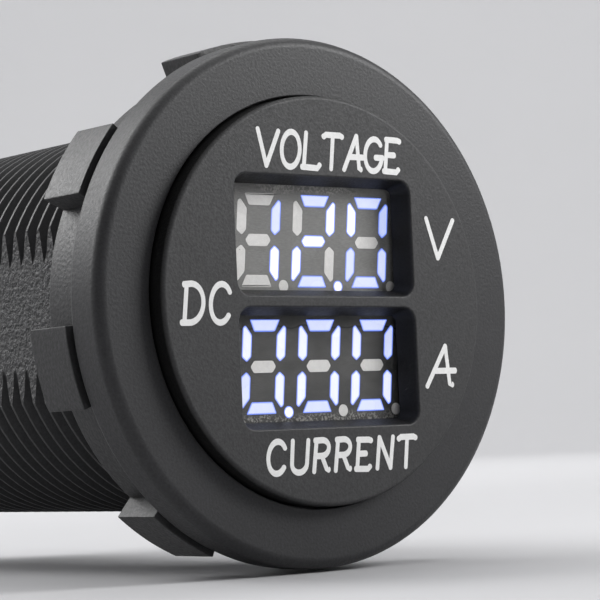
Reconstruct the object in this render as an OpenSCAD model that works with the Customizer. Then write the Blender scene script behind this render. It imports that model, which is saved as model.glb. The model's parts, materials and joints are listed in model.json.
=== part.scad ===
// Round panel-mount DC meter with two LED displays, for a 29 mm panel hole.
// A threaded plastic body with a flange takes a front cap with two windows, two
// three-digit displays, two stacked circuit boards, a current shunt and three blade
// terminals. A ring nut clamps the panel against the flange.
// Axis: the face looks toward -Y, the body runs toward +Y, Z is up.
// Origin: centre of the flange's rear face, which is the panel's front surface.

/* [Flange] */
// Width of the flange beyond the thread's crests
flange_w = 4; // [3.2:0.1:6]
// Thickness of the flange
flange_t = 3.2; // [2.8:0.1:5]
// Rounding of the flange's front edge
flange_round = 0.8; // [0.3:0.1:1.2]
// Bevel of the flange's rear edge
flange_bevel = 0.25; // [0.1:0.05:0.5]

/* [Body] */
// Radius over the thread's crests, which also sizes the collar in the panel hole
crest_r = 14.5; // [14.3:0.1:17.5]
// Depth of the thread
thread_depth = 0.9; // [0.5:0.05:1]
// Pitch of the thread
thread_pitch = 1.5; // [1:0.25:2]
// Length of the plain collar that centres the body in the panel hole
collar_l = 1.2; // [0.8:0.1:2]
// Length of the body behind the flange
body_l = 48; // [40:1:70]
// Length of the plain nose behind the thread
nose_l = 4; // [2:0.5:6]
// Depth of each side flat below the thread's crests
flat_depth = 1.4; // [1:0.05:1.8]
// Distance of the side flats behind the display board's seat
flat_back = 0.35; // [0.2:0.05:3]
// Wall of the body below the thread
body_wall = 1.9; // [1.7:0.05:2.6]
// Wall round the wider front bore, which holds the displays
front_wall = 0.85; // [0.6:0.05:0.9]

/* [Front cap] */
// Width of the cap's edge beyond the front bore
cap_lip = 1.45; // [1.1:0.05:2.2]
// Height of the cap's face above the flange's face
cap_rise = 1.25; // [0.6:0.05:2]
// Thickness of the cap at the windows
cap_plate_t = 1.6; // [1:0.1:2]
// Depth of the cap's pocket in the flange
cap_pocket_d = 1.3; // [1:0.1:1.6]
// Rounding of the cap's front edge
cap_round = 0.3; // [0.1:0.05:0.5]
// Width of the rim behind the cap's face
cap_rim_w = 1.2; // [0.8:0.1:1.4]
// Width of the display's edge that the cap covers at each end
cover_w = 0.7; // [0.4:0.05:1.5]
// Width of the display's edge that the cap covers above and below
cover_h = 0.325; // [0.2:0.025:0.8]
// Corner radius of a window
window_corner = 1; // [0.4:0.1:2]
// Distance of the window pair below the cap's centre
window_drop = 0.1; // [0:0.05:0.3]
// Half height of each snap tab
tab_half_h = 3.2; // [2:0.1:4]
// Length of each snap tab behind the cap
tab_l = 1.7; // [1.5:0.05:2]
// Thickness of each snap tab
tab_t = 0.9; // [0.6:0.1:1.2]
// Height of the hook on each snap tab
hook_h = 0.5; // [0.3:0.05:0.6]
// Length of the hook on each snap tab
hook_l = 0.7; // [0.4:0.05:0.8]

/* [Displays] */
// Distance between the cap's plate and the film on a display
display_gap = 0.3; // [0.1:0.05:0.8]
// Width of a display module
display_w = 17.2; // [16.4:0.1:17.4]
// Height of a display module
display_h = 8.9; // [8.4:0.05:8.95]
// Depth of a display module
display_d = 6.1; // [5:0.1:7.4]
// Distance between the two display modules
module_gap = 0.15; // [0.1:0.05:0.3]
// Distance between neighbouring digits
digit_pitch = 4.92; // [4.6:0.01:5]
// Height of a digit
digit_h = 6.35; // [5.5:0.05:6.6]
// Width of a digit
digit_w = 3.72; // [3.2:0.01:3.8]
// Width of a segment
segment_w = 0.86; // [0.6:0.02:0.9]
// Slant of the digits in degrees
digit_slant = 5.5; // [0:0.5:10]
// Shift of the digits to the right of the module's centre
digit_shift = 0.37; // [0:0.01:0.45]
// Shift of the digits from the module's centre towards the other module
digit_drop = 0.17; // [0:0.01:0.4]
// Depth of the light segments
segment_d = 1.4; // [0.8:0.1:2]
// Radius of a decimal point
point_r = 0.43; // [0.3:0.01:0.5]
// Thickness of the clear film on a display
film_t = 0.1; // [0.05:0.01:0.2]

/* [Ring nut] */
// Height of the nut's lugs
lug_h = 1.67; // [1:0.01:3]
// Wall of the nut's ring outside the thread's crests
nut_wall = 2.6; // [2.3:0.05:4]
// Thickness of the nut
nut_t = 4.3; // [4:0.1:8]
// Number of lugs
lug_count = 8; // [4:1:12]
// Width of a lug in degrees
lug_deg = 17.5; // [8:0.5:22]
// Turn of the first lug from the right-hand side, in degrees
lug_turn = 13.2; // [0:0.1:45]
// Gap between the flange and the nut when the nut is home
nut_gap = 0.3; // [0.2:0.05:0.6]
// Depth of the pocket in the nut's front, which clears the collar
nut_pocket_d = 1.5; // [1.3:0.1:2]
// Wall of the nut outside that pocket
nut_pocket_wall = 0.5; // [0.3:0.05:0.8]
// Width of the rubber ring in the pocket
ring_w = 1; // [0.6:0.05:1.05]

/* [Boards] */
// Thickness of every circuit board
board_t = 1.2; // [0.8:0.1:1.6]
// Distance between the display board and the main board
board_space = 8.2; // [7:0.1:12]
// Distance between the power board and the rear cap's spigot
power_back = 6.55; // [4:0.05:9]
// Radius of a display pin
pin_r = 0.25; // [0.2:0.01:0.3]
// Spacing of the display pins
pin_pitch = 2.54; // [2:0.01:2.54]
// Distance between the two rows of pins of one display
pin_row = 6.5; // [5.5:0.1:7.2]
// Length of the pin tails behind the display board
pin_tail = 1; // [0.6:0.1:1.5]

/* [Terminals and rear cap] */
// Width of a blade terminal
blade_w = 6.3; // [4.8:0.1:7.6]
// Thickness of a blade terminal
blade_t = 0.8; // [0.5:0.1:1]
// Length of a blade outside the rear cap
blade_l = 8; // [6:0.5:10]
// Radius of the latch hole in a blade
blade_hole_r = 0.85; // [0.6:0.05:1]
// Distance between the outer edges of the two side blades
blade_span = 18.7; // [17.5:0.1:18.8]
// Distance of the side blades below the axis, and of the top blade above it
blade_z = 4.2; // [3.5:0.1:5]
// Thickness of the rear cap's plate
rear_plate_t = 1.6; // [1:0.1:2.5]
// Length of the rear cap's spigot in the body
spigot_l = 4; // [2:0.5:6]
// Wall of the rear cap's spigot
spigot_wall = 1; // [0.8:0.1:1.5]

/* [Clearances] */
// Radial clearance of pieces that fit together
fit_gap = 0.05; // [0.02:0.01:0.1]
// Radial clearance of the loose boards in the body
board_gap = 0.2; // [0.1:0.05:0.4]
// Radial clearance of the nut on the thread's crests
nut_play = 0.08; // [0.05:0.01:0.1]
// Clearance around the cap in the flange, the visible joint line
cap_gap = 0.15; // [0.1:0.01:0.25]
// Clearance of the rubber ring from the flange and the nut
ring_gap = 0.1; // [0.08:0.01:0.15]

/* [Hidden] */
$fn = 96;
big = 60;                                   // larger than the whole meter

// Radii
root_r = crest_r - thread_depth;
flange_r = crest_r + flange_w;
flat_x = crest_r - flat_depth;
bore_r = root_r - body_wall;
front_bore_r = root_r - front_wall;
cap_r = front_bore_r + cap_lip;
cap_bore_r = cap_r - cap_rim_w;             // inside of the cap's rim
tab_r = front_bore_r - fit_gap;             // outside of the cap's snap tabs
hook_r = tab_r + hook_h;
nut_r = crest_r + nut_wall;
lug_r = nut_r + lug_h;
nut_bore_r = crest_r + nut_play;
nut_pocket_r = nut_r - nut_pocket_wall;
ring_r = nut_pocket_r - ring_gap;
board_r = bore_r - board_gap;
spigot_r = bore_r - fit_gap;

// Depths along Y
flange_face_y = -flange_t;
cap_face_y = flange_face_y - cap_rise;
gasket_t = 0.3;                             // cap gasket
cap_rear_y = flange_face_y + cap_pocket_d - gasket_t;
plate_rear_y = cap_face_y + cap_plate_t;
film_y = plate_rear_y + display_gap;
display_y = film_y + film_t;
board_y = display_y + display_d;
shoulder_y = board_y + board_t;
main_y = shoulder_y + board_space;
main_rear_y = main_y + board_t;
power_rear_y = body_l - spigot_l - power_back;
power_y = power_rear_y - board_t;
flat_start = shoulder_y + flat_back;
thread_end = body_l - nose_l;
nut_y = nut_gap;
nut_rear_y = nut_y + nut_t;
rear_y = body_l + rear_plate_t;
blade_end = rear_y + blade_l;
tab_end = cap_rear_y + tab_l;

// Windows and displays
window_w = display_w - 2 * cover_w;
window_h = display_h - 2 * cover_h;
display_z = (display_h + module_gap) / 2;   // centre height of a display and its window

black = [0.06, 0.06, 0.065];
soft_black = [0.09, 0.09, 0.1];
board_green = [0.05, 0.3, 0.14];
case_grey = [0.3, 0.3, 0.31];
lit_white = [0.85, 0.87, 1];
dark_white = [0.62, 0.6, 0.57];
metal = [0.75, 0.75, 0.77];
chip_black = [0.12, 0.12, 0.12];

// ---------------------------------------------------------------- helpers

// A flat shape, drawn in X and Z as seen from the front, as a slab from y0 to y1
module slab(y0, y1) {
    translate([0, y1, 0])
        rotate([90, 0, 0])
            linear_extrude(y1 - y0) children();
}

// A round bar along Y
module bar(r, y0, y1) {
    translate([0, y1, 0])
        rotate([90, 0, 0])
            cylinder(r = r, h = y1 - y0);
}

// A tube along Y
module tube(outer, inner, y0, y1) {
    difference() {
        bar(outer, y0, y1);
        bar(inner, y0 - 1, y1 + 1);
    }
}

// A box given by its centre in X and Z, its size there and its two depths
module block(x, z, w, h, y0, y1) {
    translate([x - w / 2, y0, z - h / 2])
        cube([w, y1 - y0, h]);
}

// A profile of radius and depth, turned about the Y axis
module turned() {
    rotate([-90, 0, 0])
        rotate_extrude() children();
}

// A rectangle with round corners, centred
module rounded(w, h, r) {
    union() {
        square([w - 2 * r, h], center = true);
        square([w, h - 2 * r], center = true);
        for (x = [-1, 1], z = [-1, 1])
            translate([x * (w / 2 - r), z * (h / 2 - r)]) circle(r);
    }
}

// A disc whose front edge is rounded, from y0 back to y1
module rounded_disc(r, round_r, y0, y1) {
    turned() union() {
        translate([0, y0]) square([r - round_r, y1 - y0]);
        translate([0, y0 + round_r]) square([r, y1 - y0 - round_r]);
        translate([r - round_r, y0 + round_r]) circle(round_r, $fn = 48);
    }
}

// ---------------------------------------------------------------- housing

// Half of the thread's outline: one ridge after another, a flat crest and a flat root
thread_count = floor((thread_end - collar_l) / thread_pitch);
thread_flat = thread_pitch / 5;             // width of a crest, and of a root
thread_flank = (thread_pitch - 2 * thread_flat) / 2;
function ridge(i) = let (y = collar_l + i * thread_pitch) [
    [root_r, y + thread_flat],
    [crest_r, y + thread_flat + thread_flank],
    [crest_r, y + 2 * thread_flat + thread_flank],
    [root_r, y + thread_pitch]
];

module thread_outline()
    polygon(concat(
        [[0, 0], [crest_r, 0], [crest_r, collar_l], [root_r, collar_l]],
        [for (i = [0 : thread_count - 1]) each ridge(i)],
        [[root_r, body_l], [0, body_l]]
    ));

module flange_bevel_cut()
    turned()
        polygon([
            [flange_r - flange_bevel, 0],
            [flange_r + 1, 0],
            [flange_r + 1, -flange_bevel - 1],
            [flange_r, -flange_bevel]
        ]);

module side_flat_cuts()
    for (side = [-1, 1])
        translate([side * (flat_x + big / 2), flat_start + big, 0])
            cube([big, 2 * big, big], center = true);

module housing() {
    color(black) difference() {
        union() {
            difference() {
                rounded_disc(flange_r, flange_round, flange_face_y, 0);
                flange_bevel_cut();
            }
            difference() {
                turned() thread_outline();
                side_flat_cuts();
            }
        }
        bar(cap_r + cap_gap, flange_face_y - 1, flange_face_y + cap_pocket_d);
        bar(front_bore_r, flange_face_y, shoulder_y);
        bar(bore_r, 0, body_l + 1);
        // groove that the cap's hooks snap into
        bar(hook_r + fit_gap, tab_end - hook_l - fit_gap, tab_end + fit_gap);
    }
}

// ---------------------------------------------------------------- front cap

module at_windows()
    for (side = [-1, 1])
        translate([0, side * display_z - window_drop]) children();

module snap_tab(side) {
    intersection() {
        union() {
            tube(tab_r, tab_r - tab_t, cap_rear_y, tab_end);
            tube(hook_r, tab_r - tab_t, tab_end - hook_l, tab_end);
        }
        translate([side * big / 2, tab_end, 0])
            cube([big, big, 2 * tab_half_h], center = true);
    }
}

module front_cap() {
    color(soft_black) union() {
        difference() {
            rounded_disc(cap_r, cap_round, cap_face_y, cap_rear_y);
            bar(cap_bore_r, plate_rear_y, cap_rear_y + 1);
            slab(cap_face_y - 1, cap_rear_y + 1)
                at_windows() rounded(window_w, window_h, window_corner);
        }
        snap_tab(-1);
        snap_tab(1);
        // the tabs stand on the cap's plate, inside its rim
        intersection() {
            tube(tab_r, tab_r - tab_t, plate_rear_y, cap_rear_y + tab_l / 2);
            cube([big, big, 2 * tab_half_h], center = true);
        }
    }
}

module cap_gasket() {
    color("dimgray")
        tube(cap_r - fit_gap, hook_r + 2 * fit_gap, cap_rear_y, cap_rear_y + gasket_t);
}

// ---------------------------------------------------------------- ring nut

module lug(angle) {
    rotate([0, -angle, 0])
        intersection() {
            tube(lug_r, nut_r - 1, nut_y, nut_rear_y);
            // wedge with radial sides about +X
            slab(nut_y, nut_rear_y) polygon([
                [0, 0],
                [big, -big * tan(lug_deg / 2)],
                [big, big * tan(lug_deg / 2)]
            ]);
        }
}

module panel_nut() {
    color(black) difference() {
        union() {
            bar(nut_r, nut_y, nut_rear_y);
            for (i = [0 : lug_count - 1])
                lug(lug_turn + i * 360 / lug_count);
        }
        bar(nut_bore_r, nut_y - 1, nut_rear_y + 1);
        bar(nut_pocket_r, nut_y - 1, nut_y + nut_pocket_d);
    }
}

module nut_ring() {
    color("dimgray")
        tube(ring_r, ring_r - ring_w, ring_gap, nut_y + nut_pocket_d - ring_gap);
}

// ---------------------------------------------------------------- displays

// Segment outlines of one digit, centred on it, before the slant
half_w = digit_w / 2;
half_h = digit_h / 2;
inner_w = half_w - segment_w;
gap = segment_w * 0.16;                     // half the dark gap between two segments
corner_cut = segment_w * 0.68;              // cut of a digit's outer corners
point_cut = segment_w * 0.28;               // slope of the middle bar's pointed ends
function level_end(top) = [
    [-half_w + corner_cut, top],
    [half_w - corner_cut, top],
    [inner_w - gap, top - sign(top) * segment_w],
    [-inner_w + gap, top - sign(top) * segment_w]
];
function middle_bar() = [
    [-inner_w - gap / 2, 0],
    [-inner_w + point_cut, segment_w / 2],
    [inner_w - point_cut, segment_w / 2],
    [inner_w + gap / 2, 0],
    [inner_w - point_cut, -segment_w / 2],
    [-inner_w + point_cut, -segment_w / 2]
];
function upright(sx, sz) = [
    [sx * inner_w, sz * segment_w * 0.78],
    [sx * (inner_w + segment_w * 0.45), sz * segment_w * 0.36],
    [sx * half_w, sz * segment_w * 0.78],
    [sx * half_w, sz * (half_h - segment_w * 0.66)],
    [sx * (half_w - segment_w * 0.3), sz * (half_h - segment_w * 0.45)],
    [sx * inner_w, sz * (half_h - segment_w * 1.24)]
];
// The seven segments in the usual order a, b, c, d, e, f, g
function segment(n) =
    n == 0 ? level_end(half_h) :
    n == 1 ? upright(1, 1) :
    n == 2 ? upright(1, -1) :
    n == 3 ? level_end(-half_h) :
    n == 4 ? upright(-1, -1) :
    n == 5 ? upright(-1, 1) :
    middle_bar();
function slanted(points) = [for (p = points) [p[0] + p[1] * tan(digit_slant), p[1]]];
point_at = slanted([[half_w + 0.46, -half_h + 0.1]])[0];

// Which segments glow: 0 to 6 are a to g, and 7 is the decimal point
upper_glow = [[1, 2], [0, 1, 3, 4, 6, 7], [0, 1, 2, 3, 4, 5]];
lower_glow = [[0, 1, 2, 3, 4, 5, 7], [0, 1, 2, 3, 4, 5], [0, 1, 2, 3, 4, 5]];
function glows(glow, digit, n) = len(search(n, glow[digit])) > 0;

// One segment of one digit, or its decimal point
module segment_shape(n) {
    if (n == 7)
        translate(point_at) circle(point_r, $fn = 32);
    else
        polygon(slanted(segment(n)));
}

module segments(side, glow, lit) {
    slab(display_y, display_y + segment_d)
        translate([digit_shift, side * (display_z - digit_drop) - window_drop])
            for (digit = [0 : 2], n = [0 : 7])
                if (glows(glow, digit, n) == lit)
                    translate([(digit - 1) * digit_pitch, 0]) segment_shape(n);
}

module display_case(side, glow) {
    color(case_grey) difference() {
        slab(display_y, board_y)
            translate([0, side * display_z - window_drop])
                square([display_w, display_h], center = true);
        segments(side, glow, true);
        segments(side, glow, false);
    }
}

module display_film(side) {
    color([0.9, 0.9, 0.95, 0.3])
        slab(film_y, display_y)
            translate([0, side * display_z - window_drop])
                square([display_w - 0.4, display_h - 0.2], center = true);
}

module upper_display_case() display_case(1, upper_glow);
module lower_display_case() display_case(-1, lower_glow);
module upper_lit_segments() color(lit_white) segments(1, upper_glow, true);
module upper_dark_segments() color(dark_white) segments(1, upper_glow, false);
module lower_lit_segments() color(lit_white) segments(-1, lower_glow, true);
module lower_dark_segments() color(dark_white) segments(-1, lower_glow, false);
module upper_display_film() display_film(1);
module lower_display_film() display_film(-1);

// ---------------------------------------------------------------- boards

// Places its children at the six by two pins of each display
pin_count = 6;                              // pins in a row
module at_display_pins()
    for (side = [-1, 1], row = [-1, 1], i = [0 : pin_count - 1])
        translate([
            (i - (pin_count - 1) / 2) * pin_pitch, 0,
            side * display_z - window_drop + row * pin_row / 2
        ])
            children();

// Places its children at the two by six pins of the board-to-board headers
header_x = 8.6;                             // distance of each header from the axis
header_pitch = 2;
header_r = 0.3;                             // header pin
strip_w = 2;                                // header strip's width
strip_t = 2.5;                              // header strip's thickness
module at_header_pins()
    for (side = [-1, 1], i = [0 : pin_count - 1])
        translate([side * header_x, 0, (i - (pin_count - 1) / 2) * header_pitch])
            children();

module display_board() {
    color(board_green) difference() {
        bar(front_bore_r - 2 * fit_gap, board_y, shoulder_y);
        at_display_pins() bar(pin_r + fit_gap, board_y - 1, shoulder_y + 1);
        at_header_pins() bar(header_r + fit_gap, board_y - 1, shoulder_y + 1);
    }
}

module display_pins()
    color(metal) at_display_pins() bar(pin_r, board_y, shoulder_y + pin_tail);

module header_pins()
    color("gold") at_header_pins() bar(header_r, board_y, main_rear_y + pin_tail);

module header_strips()
    color(chip_black) difference() {
        for (side = [-1, 1])
            block(side * header_x, 0, strip_w, pin_count * header_pitch, main_y - strip_t, main_y);
        at_header_pins() bar(header_r, main_y - strip_t - 1, main_y + 1);
    }

// A small-outline chip on the rear of a board at depth y, with a row of legs above and below
leg_pitch = 1.27;
leg_w = 0.42;
leg_t = 0.2;
leg_out = 0.6;                              // run of a leg from the chip to its bend
foot_l = 0.8;                               // length of a leg's foot on the board
module small_chip(x, z, w, h, t, legs, y) {
    top = y + t / 2;                        // where the legs leave the chip
    color(chip_black) block(x, z, w, h, y + leg_t / 2, y + t);
    color(metal)
        for (end = [-1, 1], i = [0 : legs - 1])
            union() {
                at = x + (i - (legs - 1) / 2) * leg_pitch;
                bend = h / 2 + leg_out - leg_t / 2;
                block(at, z + end * (h / 2 + leg_out / 2), leg_w, leg_out, top, top + leg_t);
                block(at, z + end * bend, leg_w, leg_t, y, top + leg_t);
                block(at, z + end * (bend - leg_t / 2 + foot_l / 2), leg_w, foot_l, y, y + leg_t);
            }
}

chip_t = 1.2;                               // thickness of a small-outline chip
module segment_driver()
    small_chip(0, display_z - window_drop, 8 * leg_pitch + 0.14, 3, chip_t, 8, shoulder_y);

// A surface-mount block with a metal cap at each end, its length along X
module chip_block(x, z, l, w, t, y, shade) {
    end = l * 0.18;                         // width of a metal cap
    color(shade) block(x, z, l - 2 * end, w, y, y + t);
    color(metal)
        for (side = [-1, 1])
            block(x + side * (l - end) / 2, z, end, w, y, y + t);
}

resistor_z = 9.6;                           // height of each row of resistors
resistor_pitch = 2.4;
module segment_resistors()
    for (side = [-1, 1], i = [0 : 3])
        chip_block((i - 1.5) * resistor_pitch, side * resistor_z, 1.6, 0.8, 0.45, shoulder_y,
            chip_black);

module main_board() {
    color(board_green) difference() {
        bar(board_r, main_y, main_rear_y);
        at_header_pins() bar(header_r + fit_gap, main_y - 1, main_rear_y + 1);
        at_link_wires() bar(wire_r + fit_gap, main_y - 1, main_rear_y + 1);
    }
}

controller_z = -3.2;
module controller_chip() small_chip(0, controller_z, 7, 4.4, chip_t, 5, main_rear_y);

regulator_at = [-4.6, 7];
regulator_size = [4.5, 2.5, 1.5];
regulator_leg = [0.5, 0.8, 0.4];
module voltage_regulator() {
    x = regulator_at[0];
    z = regulator_at[1];
    leg_z = z + regulator_size[1] / 2 + regulator_leg[1] / 2;
    color(chip_black)
        block(x, z, regulator_size[0], regulator_size[1],
            main_rear_y, main_rear_y + regulator_size[2]);
    color(metal) for (i = [-1 : 1])
        block(x + i * regulator_size[0] / 3, leg_z, regulator_leg[0], regulator_leg[1],
            main_rear_y, main_rear_y + regulator_leg[2]);
}

// Supply capacitor: an aluminium can in a plastic sleeve, upright on the main board
can_x = 3.2;
can_z = 4.6;
can_r = 3;
can_l = 8;
can_lift = 0.4;                             // gap between the can and the board
sleeve_t = 0.15;
sleeve_lip = 0.5;                           // width of the sleeve's lip over the can's ends
module supply_capacitor()
    color(metal) translate([can_x, 0, can_z])
        bar(can_r, main_rear_y + can_lift, main_rear_y + can_l);

module capacitor_sleeve()
    color("navy") translate([can_x, 0, can_z]) difference() {
        bar(can_r + sleeve_t, main_rear_y, main_rear_y + can_l + sleeve_t);
        bar(can_r, main_rear_y - 1, main_rear_y + can_l);
        bar(can_r - sleeve_lip, main_rear_y - 1, main_rear_y + can_l + 1);
    }

module ceramic_capacitors()
    for (at = [[-6.2, 3.4], [-3.4, 3.4], [-6, 0.8], [4.8, -7.6]])
        chip_block(at[0], at[1], 2, 1.25, 0.9, main_rear_y, [0.62, 0.5, 0.36]);

diode_z = -8.1;
diode_w = 2.8;
diode_cap_w = 0.6;                          // width of each metal end of the diode
module protection_diode() {
    color(chip_black)
        block(0, diode_z, diode_w, 2.6, main_rear_y + leg_t, main_rear_y + leg_t + 2);
    color(metal) for (side = [-1, 1])
        block(side * (diode_w + diode_cap_w) / 2, diode_z, diode_cap_w, 1.4,
            main_rear_y, main_rear_y + 1);
}

// Three straight link wires from the main board to the power board, along the boards' edge
wire_r = 0.35;
jacket_r = 0.7;
jacket_edge = 1.3;                          // distance of the middle wire from the boards' edge
wire_spacing = 3;
wire_rise = 0.6;                            // rise of the outer wires above the middle one
strip_l = 0.6;                              // bare length of wire at each board
module at_link_wires()
    for (i = [-1 : 1])
        translate([i * wire_spacing, 0, -board_r + jacket_edge + abs(i) * wire_rise]) children();

module link_wires()
    color("goldenrod") at_link_wires() bar(wire_r, main_y - 0.5, power_rear_y + strip_l);

module wire_jackets()
    color("firebrick") at_link_wires()
        tube(jacket_r, wire_r, main_rear_y + strip_l, power_y - strip_l);

// ---------------------------------------------------------------- power side

// Shunt: a thick bar bent to a U, its legs soldered in the power board
shunt_r = 0.8;
shunt_half = 5;                             // half the distance between its legs
shunt_rise = 3;                             // straight length of each leg
shunt_tail = 0.4;                           // length of each leg behind the board

module current_shunt() {
    bend_y = power_y - shunt_rise;
    color([0.72, 0.45, 0.3]) union() {
        for (side = [-1, 1])
            translate([side * shunt_half, 0, 0])
                bar(shunt_r, bend_y, power_rear_y + shunt_tail);
        translate([0, bend_y, 0])
            rotate([180, 0, 0])
                rotate_extrude(angle = 180) translate([shunt_half, 0]) circle(shunt_r, $fn = 48);
    }
}

// The places of the blades: positive and load low at the sides, negative above
blade_x = (blade_span - blade_w) / 2;
positive_at = [-blade_x, -blade_z];
load_at = [blade_x, -blade_z];
negative_at = [0, blade_z + 1];
blade_tip = 1.2;                            // bevel at the blade's end
tail_w = 2.4;                               // width of the blade's tail in the board
tail_l = 0.6;                               // length of the blade's tail in front of the board
shoulder_gap = 1;                           // gap between the board and the blade's shoulders

// A blade terminal seen from above: wide outside, narrow where it enters the board
module blade(at) {
    shoulder = power_rear_y + shoulder_gap;
    color(metal) translate([at[0], 0, at[1] - blade_t / 2])
        linear_extrude(blade_t) difference() {
            polygon([
                [-tail_w / 2, power_y - tail_l],
                [tail_w / 2, power_y - tail_l],
                [tail_w / 2, shoulder],
                [blade_w / 2, shoulder],
                [blade_w / 2, blade_end - blade_tip],
                [blade_w / 2 - blade_tip, blade_end],
                [-blade_w / 2 + blade_tip, blade_end],
                [-blade_w / 2, blade_end - blade_tip],
                [-blade_w / 2, shoulder],
                [-tail_w / 2, shoulder]
            ]);
            translate([0, rear_y + blade_l * 0.55]) circle(blade_hole_r, $fn = 32);
        }
}

module positive_terminal() blade(positive_at);
module negative_terminal() blade(negative_at);
module load_terminal() blade(load_at);

module power_board() {
    color(board_green) difference() {
        bar(board_r, power_y, power_rear_y);
        for (at = [positive_at, load_at, negative_at])
            block(at[0], at[1], tail_w + 2 * fit_gap, blade_t + 2 * fit_gap,
                power_y - 1, power_rear_y + 1);
        for (side = [-1, 1])
            translate([side * shunt_half, 0, 0])
                bar(shunt_r + fit_gap, power_y - 1, power_rear_y + 1);
        at_link_wires() bar(wire_r + fit_gap, power_y - 1, power_rear_y + 1);
    }
}

// Solder collars round the blades' tails on the board's front, and round the shunt behind
solder_t = 0.5;
solder_w = 0.6;                             // width of a collar beside a blade
module solder_joints()
    color(metal) {
        for (at = [positive_at, load_at, negative_at])
            difference() {
                block(at[0], at[1], tail_w + 2 * solder_w, blade_t + 2 * solder_w,
                    power_y - solder_t, power_y);
                block(at[0], at[1], tail_w, blade_t, power_y - 1, power_y + 1);
            }
        for (side = [-1, 1])
            translate([side * shunt_half, 0, 0])
                tube(shunt_r + solder_w - 0.1, shunt_r, power_rear_y, power_rear_y + solder_t / 2);
    }

module rear_cap() {
    color(soft_black) difference() {
        union() {
            bar(root_r, body_l, rear_y);
            tube(spigot_r, spigot_r - spigot_wall, body_l - spigot_l, body_l);
        }
        for (at = [positive_at, load_at, negative_at])
            block(at[0], at[1], blade_w + 2 * fit_gap, blade_t + 2 * fit_gap,
                body_l - 1, rear_y + 1);
        side_flat_cuts();
    }
}

housing();
front_cap();
cap_gasket();
panel_nut();
nut_ring();
upper_display_case();
lower_display_case();
upper_lit_segments();
upper_dark_segments();
lower_lit_segments();
lower_dark_segments();
upper_display_film();
lower_display_film();
display_board();
display_pins();
segment_driver();
segment_resistors();
header_strips();
header_pins();
main_board();
controller_chip();
voltage_regulator();
supply_capacitor();
capacitor_sleeve();
ceramic_capacitors();
protection_diode();
link_wires();
wire_jackets();
power_board();
current_shunt();
positive_terminal();
negative_terminal();
load_terminal();
solder_joints();
rear_cap();
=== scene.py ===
"""Looks of a round panel-mount DC meter with two LED displays.

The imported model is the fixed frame: the face looks toward -Y, the threaded body runs
toward +Y, Z is up, and the origin is the centre of the flange's rear face. Sizes in the
classes are in millimetres, and each finished mesh is scaled to metres.
"""

import json
import logging
import math
from dataclasses import dataclass, field
from enum import Enum

import bmesh
import bpy
from mathutils import Matrix, Vector


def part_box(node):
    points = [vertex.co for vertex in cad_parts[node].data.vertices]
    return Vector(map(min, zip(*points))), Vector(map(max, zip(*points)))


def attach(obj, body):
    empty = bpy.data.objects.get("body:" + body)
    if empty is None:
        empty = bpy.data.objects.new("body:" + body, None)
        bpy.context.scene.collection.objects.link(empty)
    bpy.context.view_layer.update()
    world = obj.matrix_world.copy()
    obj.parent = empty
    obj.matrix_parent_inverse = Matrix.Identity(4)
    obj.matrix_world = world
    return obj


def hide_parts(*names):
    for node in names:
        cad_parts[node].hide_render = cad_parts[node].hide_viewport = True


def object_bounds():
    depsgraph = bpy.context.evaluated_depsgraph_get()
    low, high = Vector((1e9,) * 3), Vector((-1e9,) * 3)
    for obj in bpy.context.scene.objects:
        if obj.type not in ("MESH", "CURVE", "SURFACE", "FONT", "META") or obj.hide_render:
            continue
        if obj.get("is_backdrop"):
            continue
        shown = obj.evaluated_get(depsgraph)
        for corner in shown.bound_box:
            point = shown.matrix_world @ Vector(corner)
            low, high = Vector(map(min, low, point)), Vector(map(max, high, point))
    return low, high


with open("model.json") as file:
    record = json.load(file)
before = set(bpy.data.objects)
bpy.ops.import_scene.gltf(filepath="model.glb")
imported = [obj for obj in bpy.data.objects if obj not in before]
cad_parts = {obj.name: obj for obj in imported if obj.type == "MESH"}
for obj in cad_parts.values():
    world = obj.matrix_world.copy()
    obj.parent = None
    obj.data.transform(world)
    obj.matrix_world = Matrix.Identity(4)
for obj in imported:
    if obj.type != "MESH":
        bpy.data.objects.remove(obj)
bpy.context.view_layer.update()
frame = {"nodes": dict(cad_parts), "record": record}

MM = 0.001
AXIS = (0.0, 1.0, 0.0)
TURN = 2 * math.pi
NUT_PLAY = 0.08  # between the nut's bore and the thread's crests
TOUCHING = 5e-4  # vertices this close are one, after solids are joined
LOG = logging.getLogger("meter")

Point = tuple[float, float]
Triple = tuple[float, float, float]
Colour = Triple
MADE: dict[str, bpy.types.Material] = {}


# ---- shader maths


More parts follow.
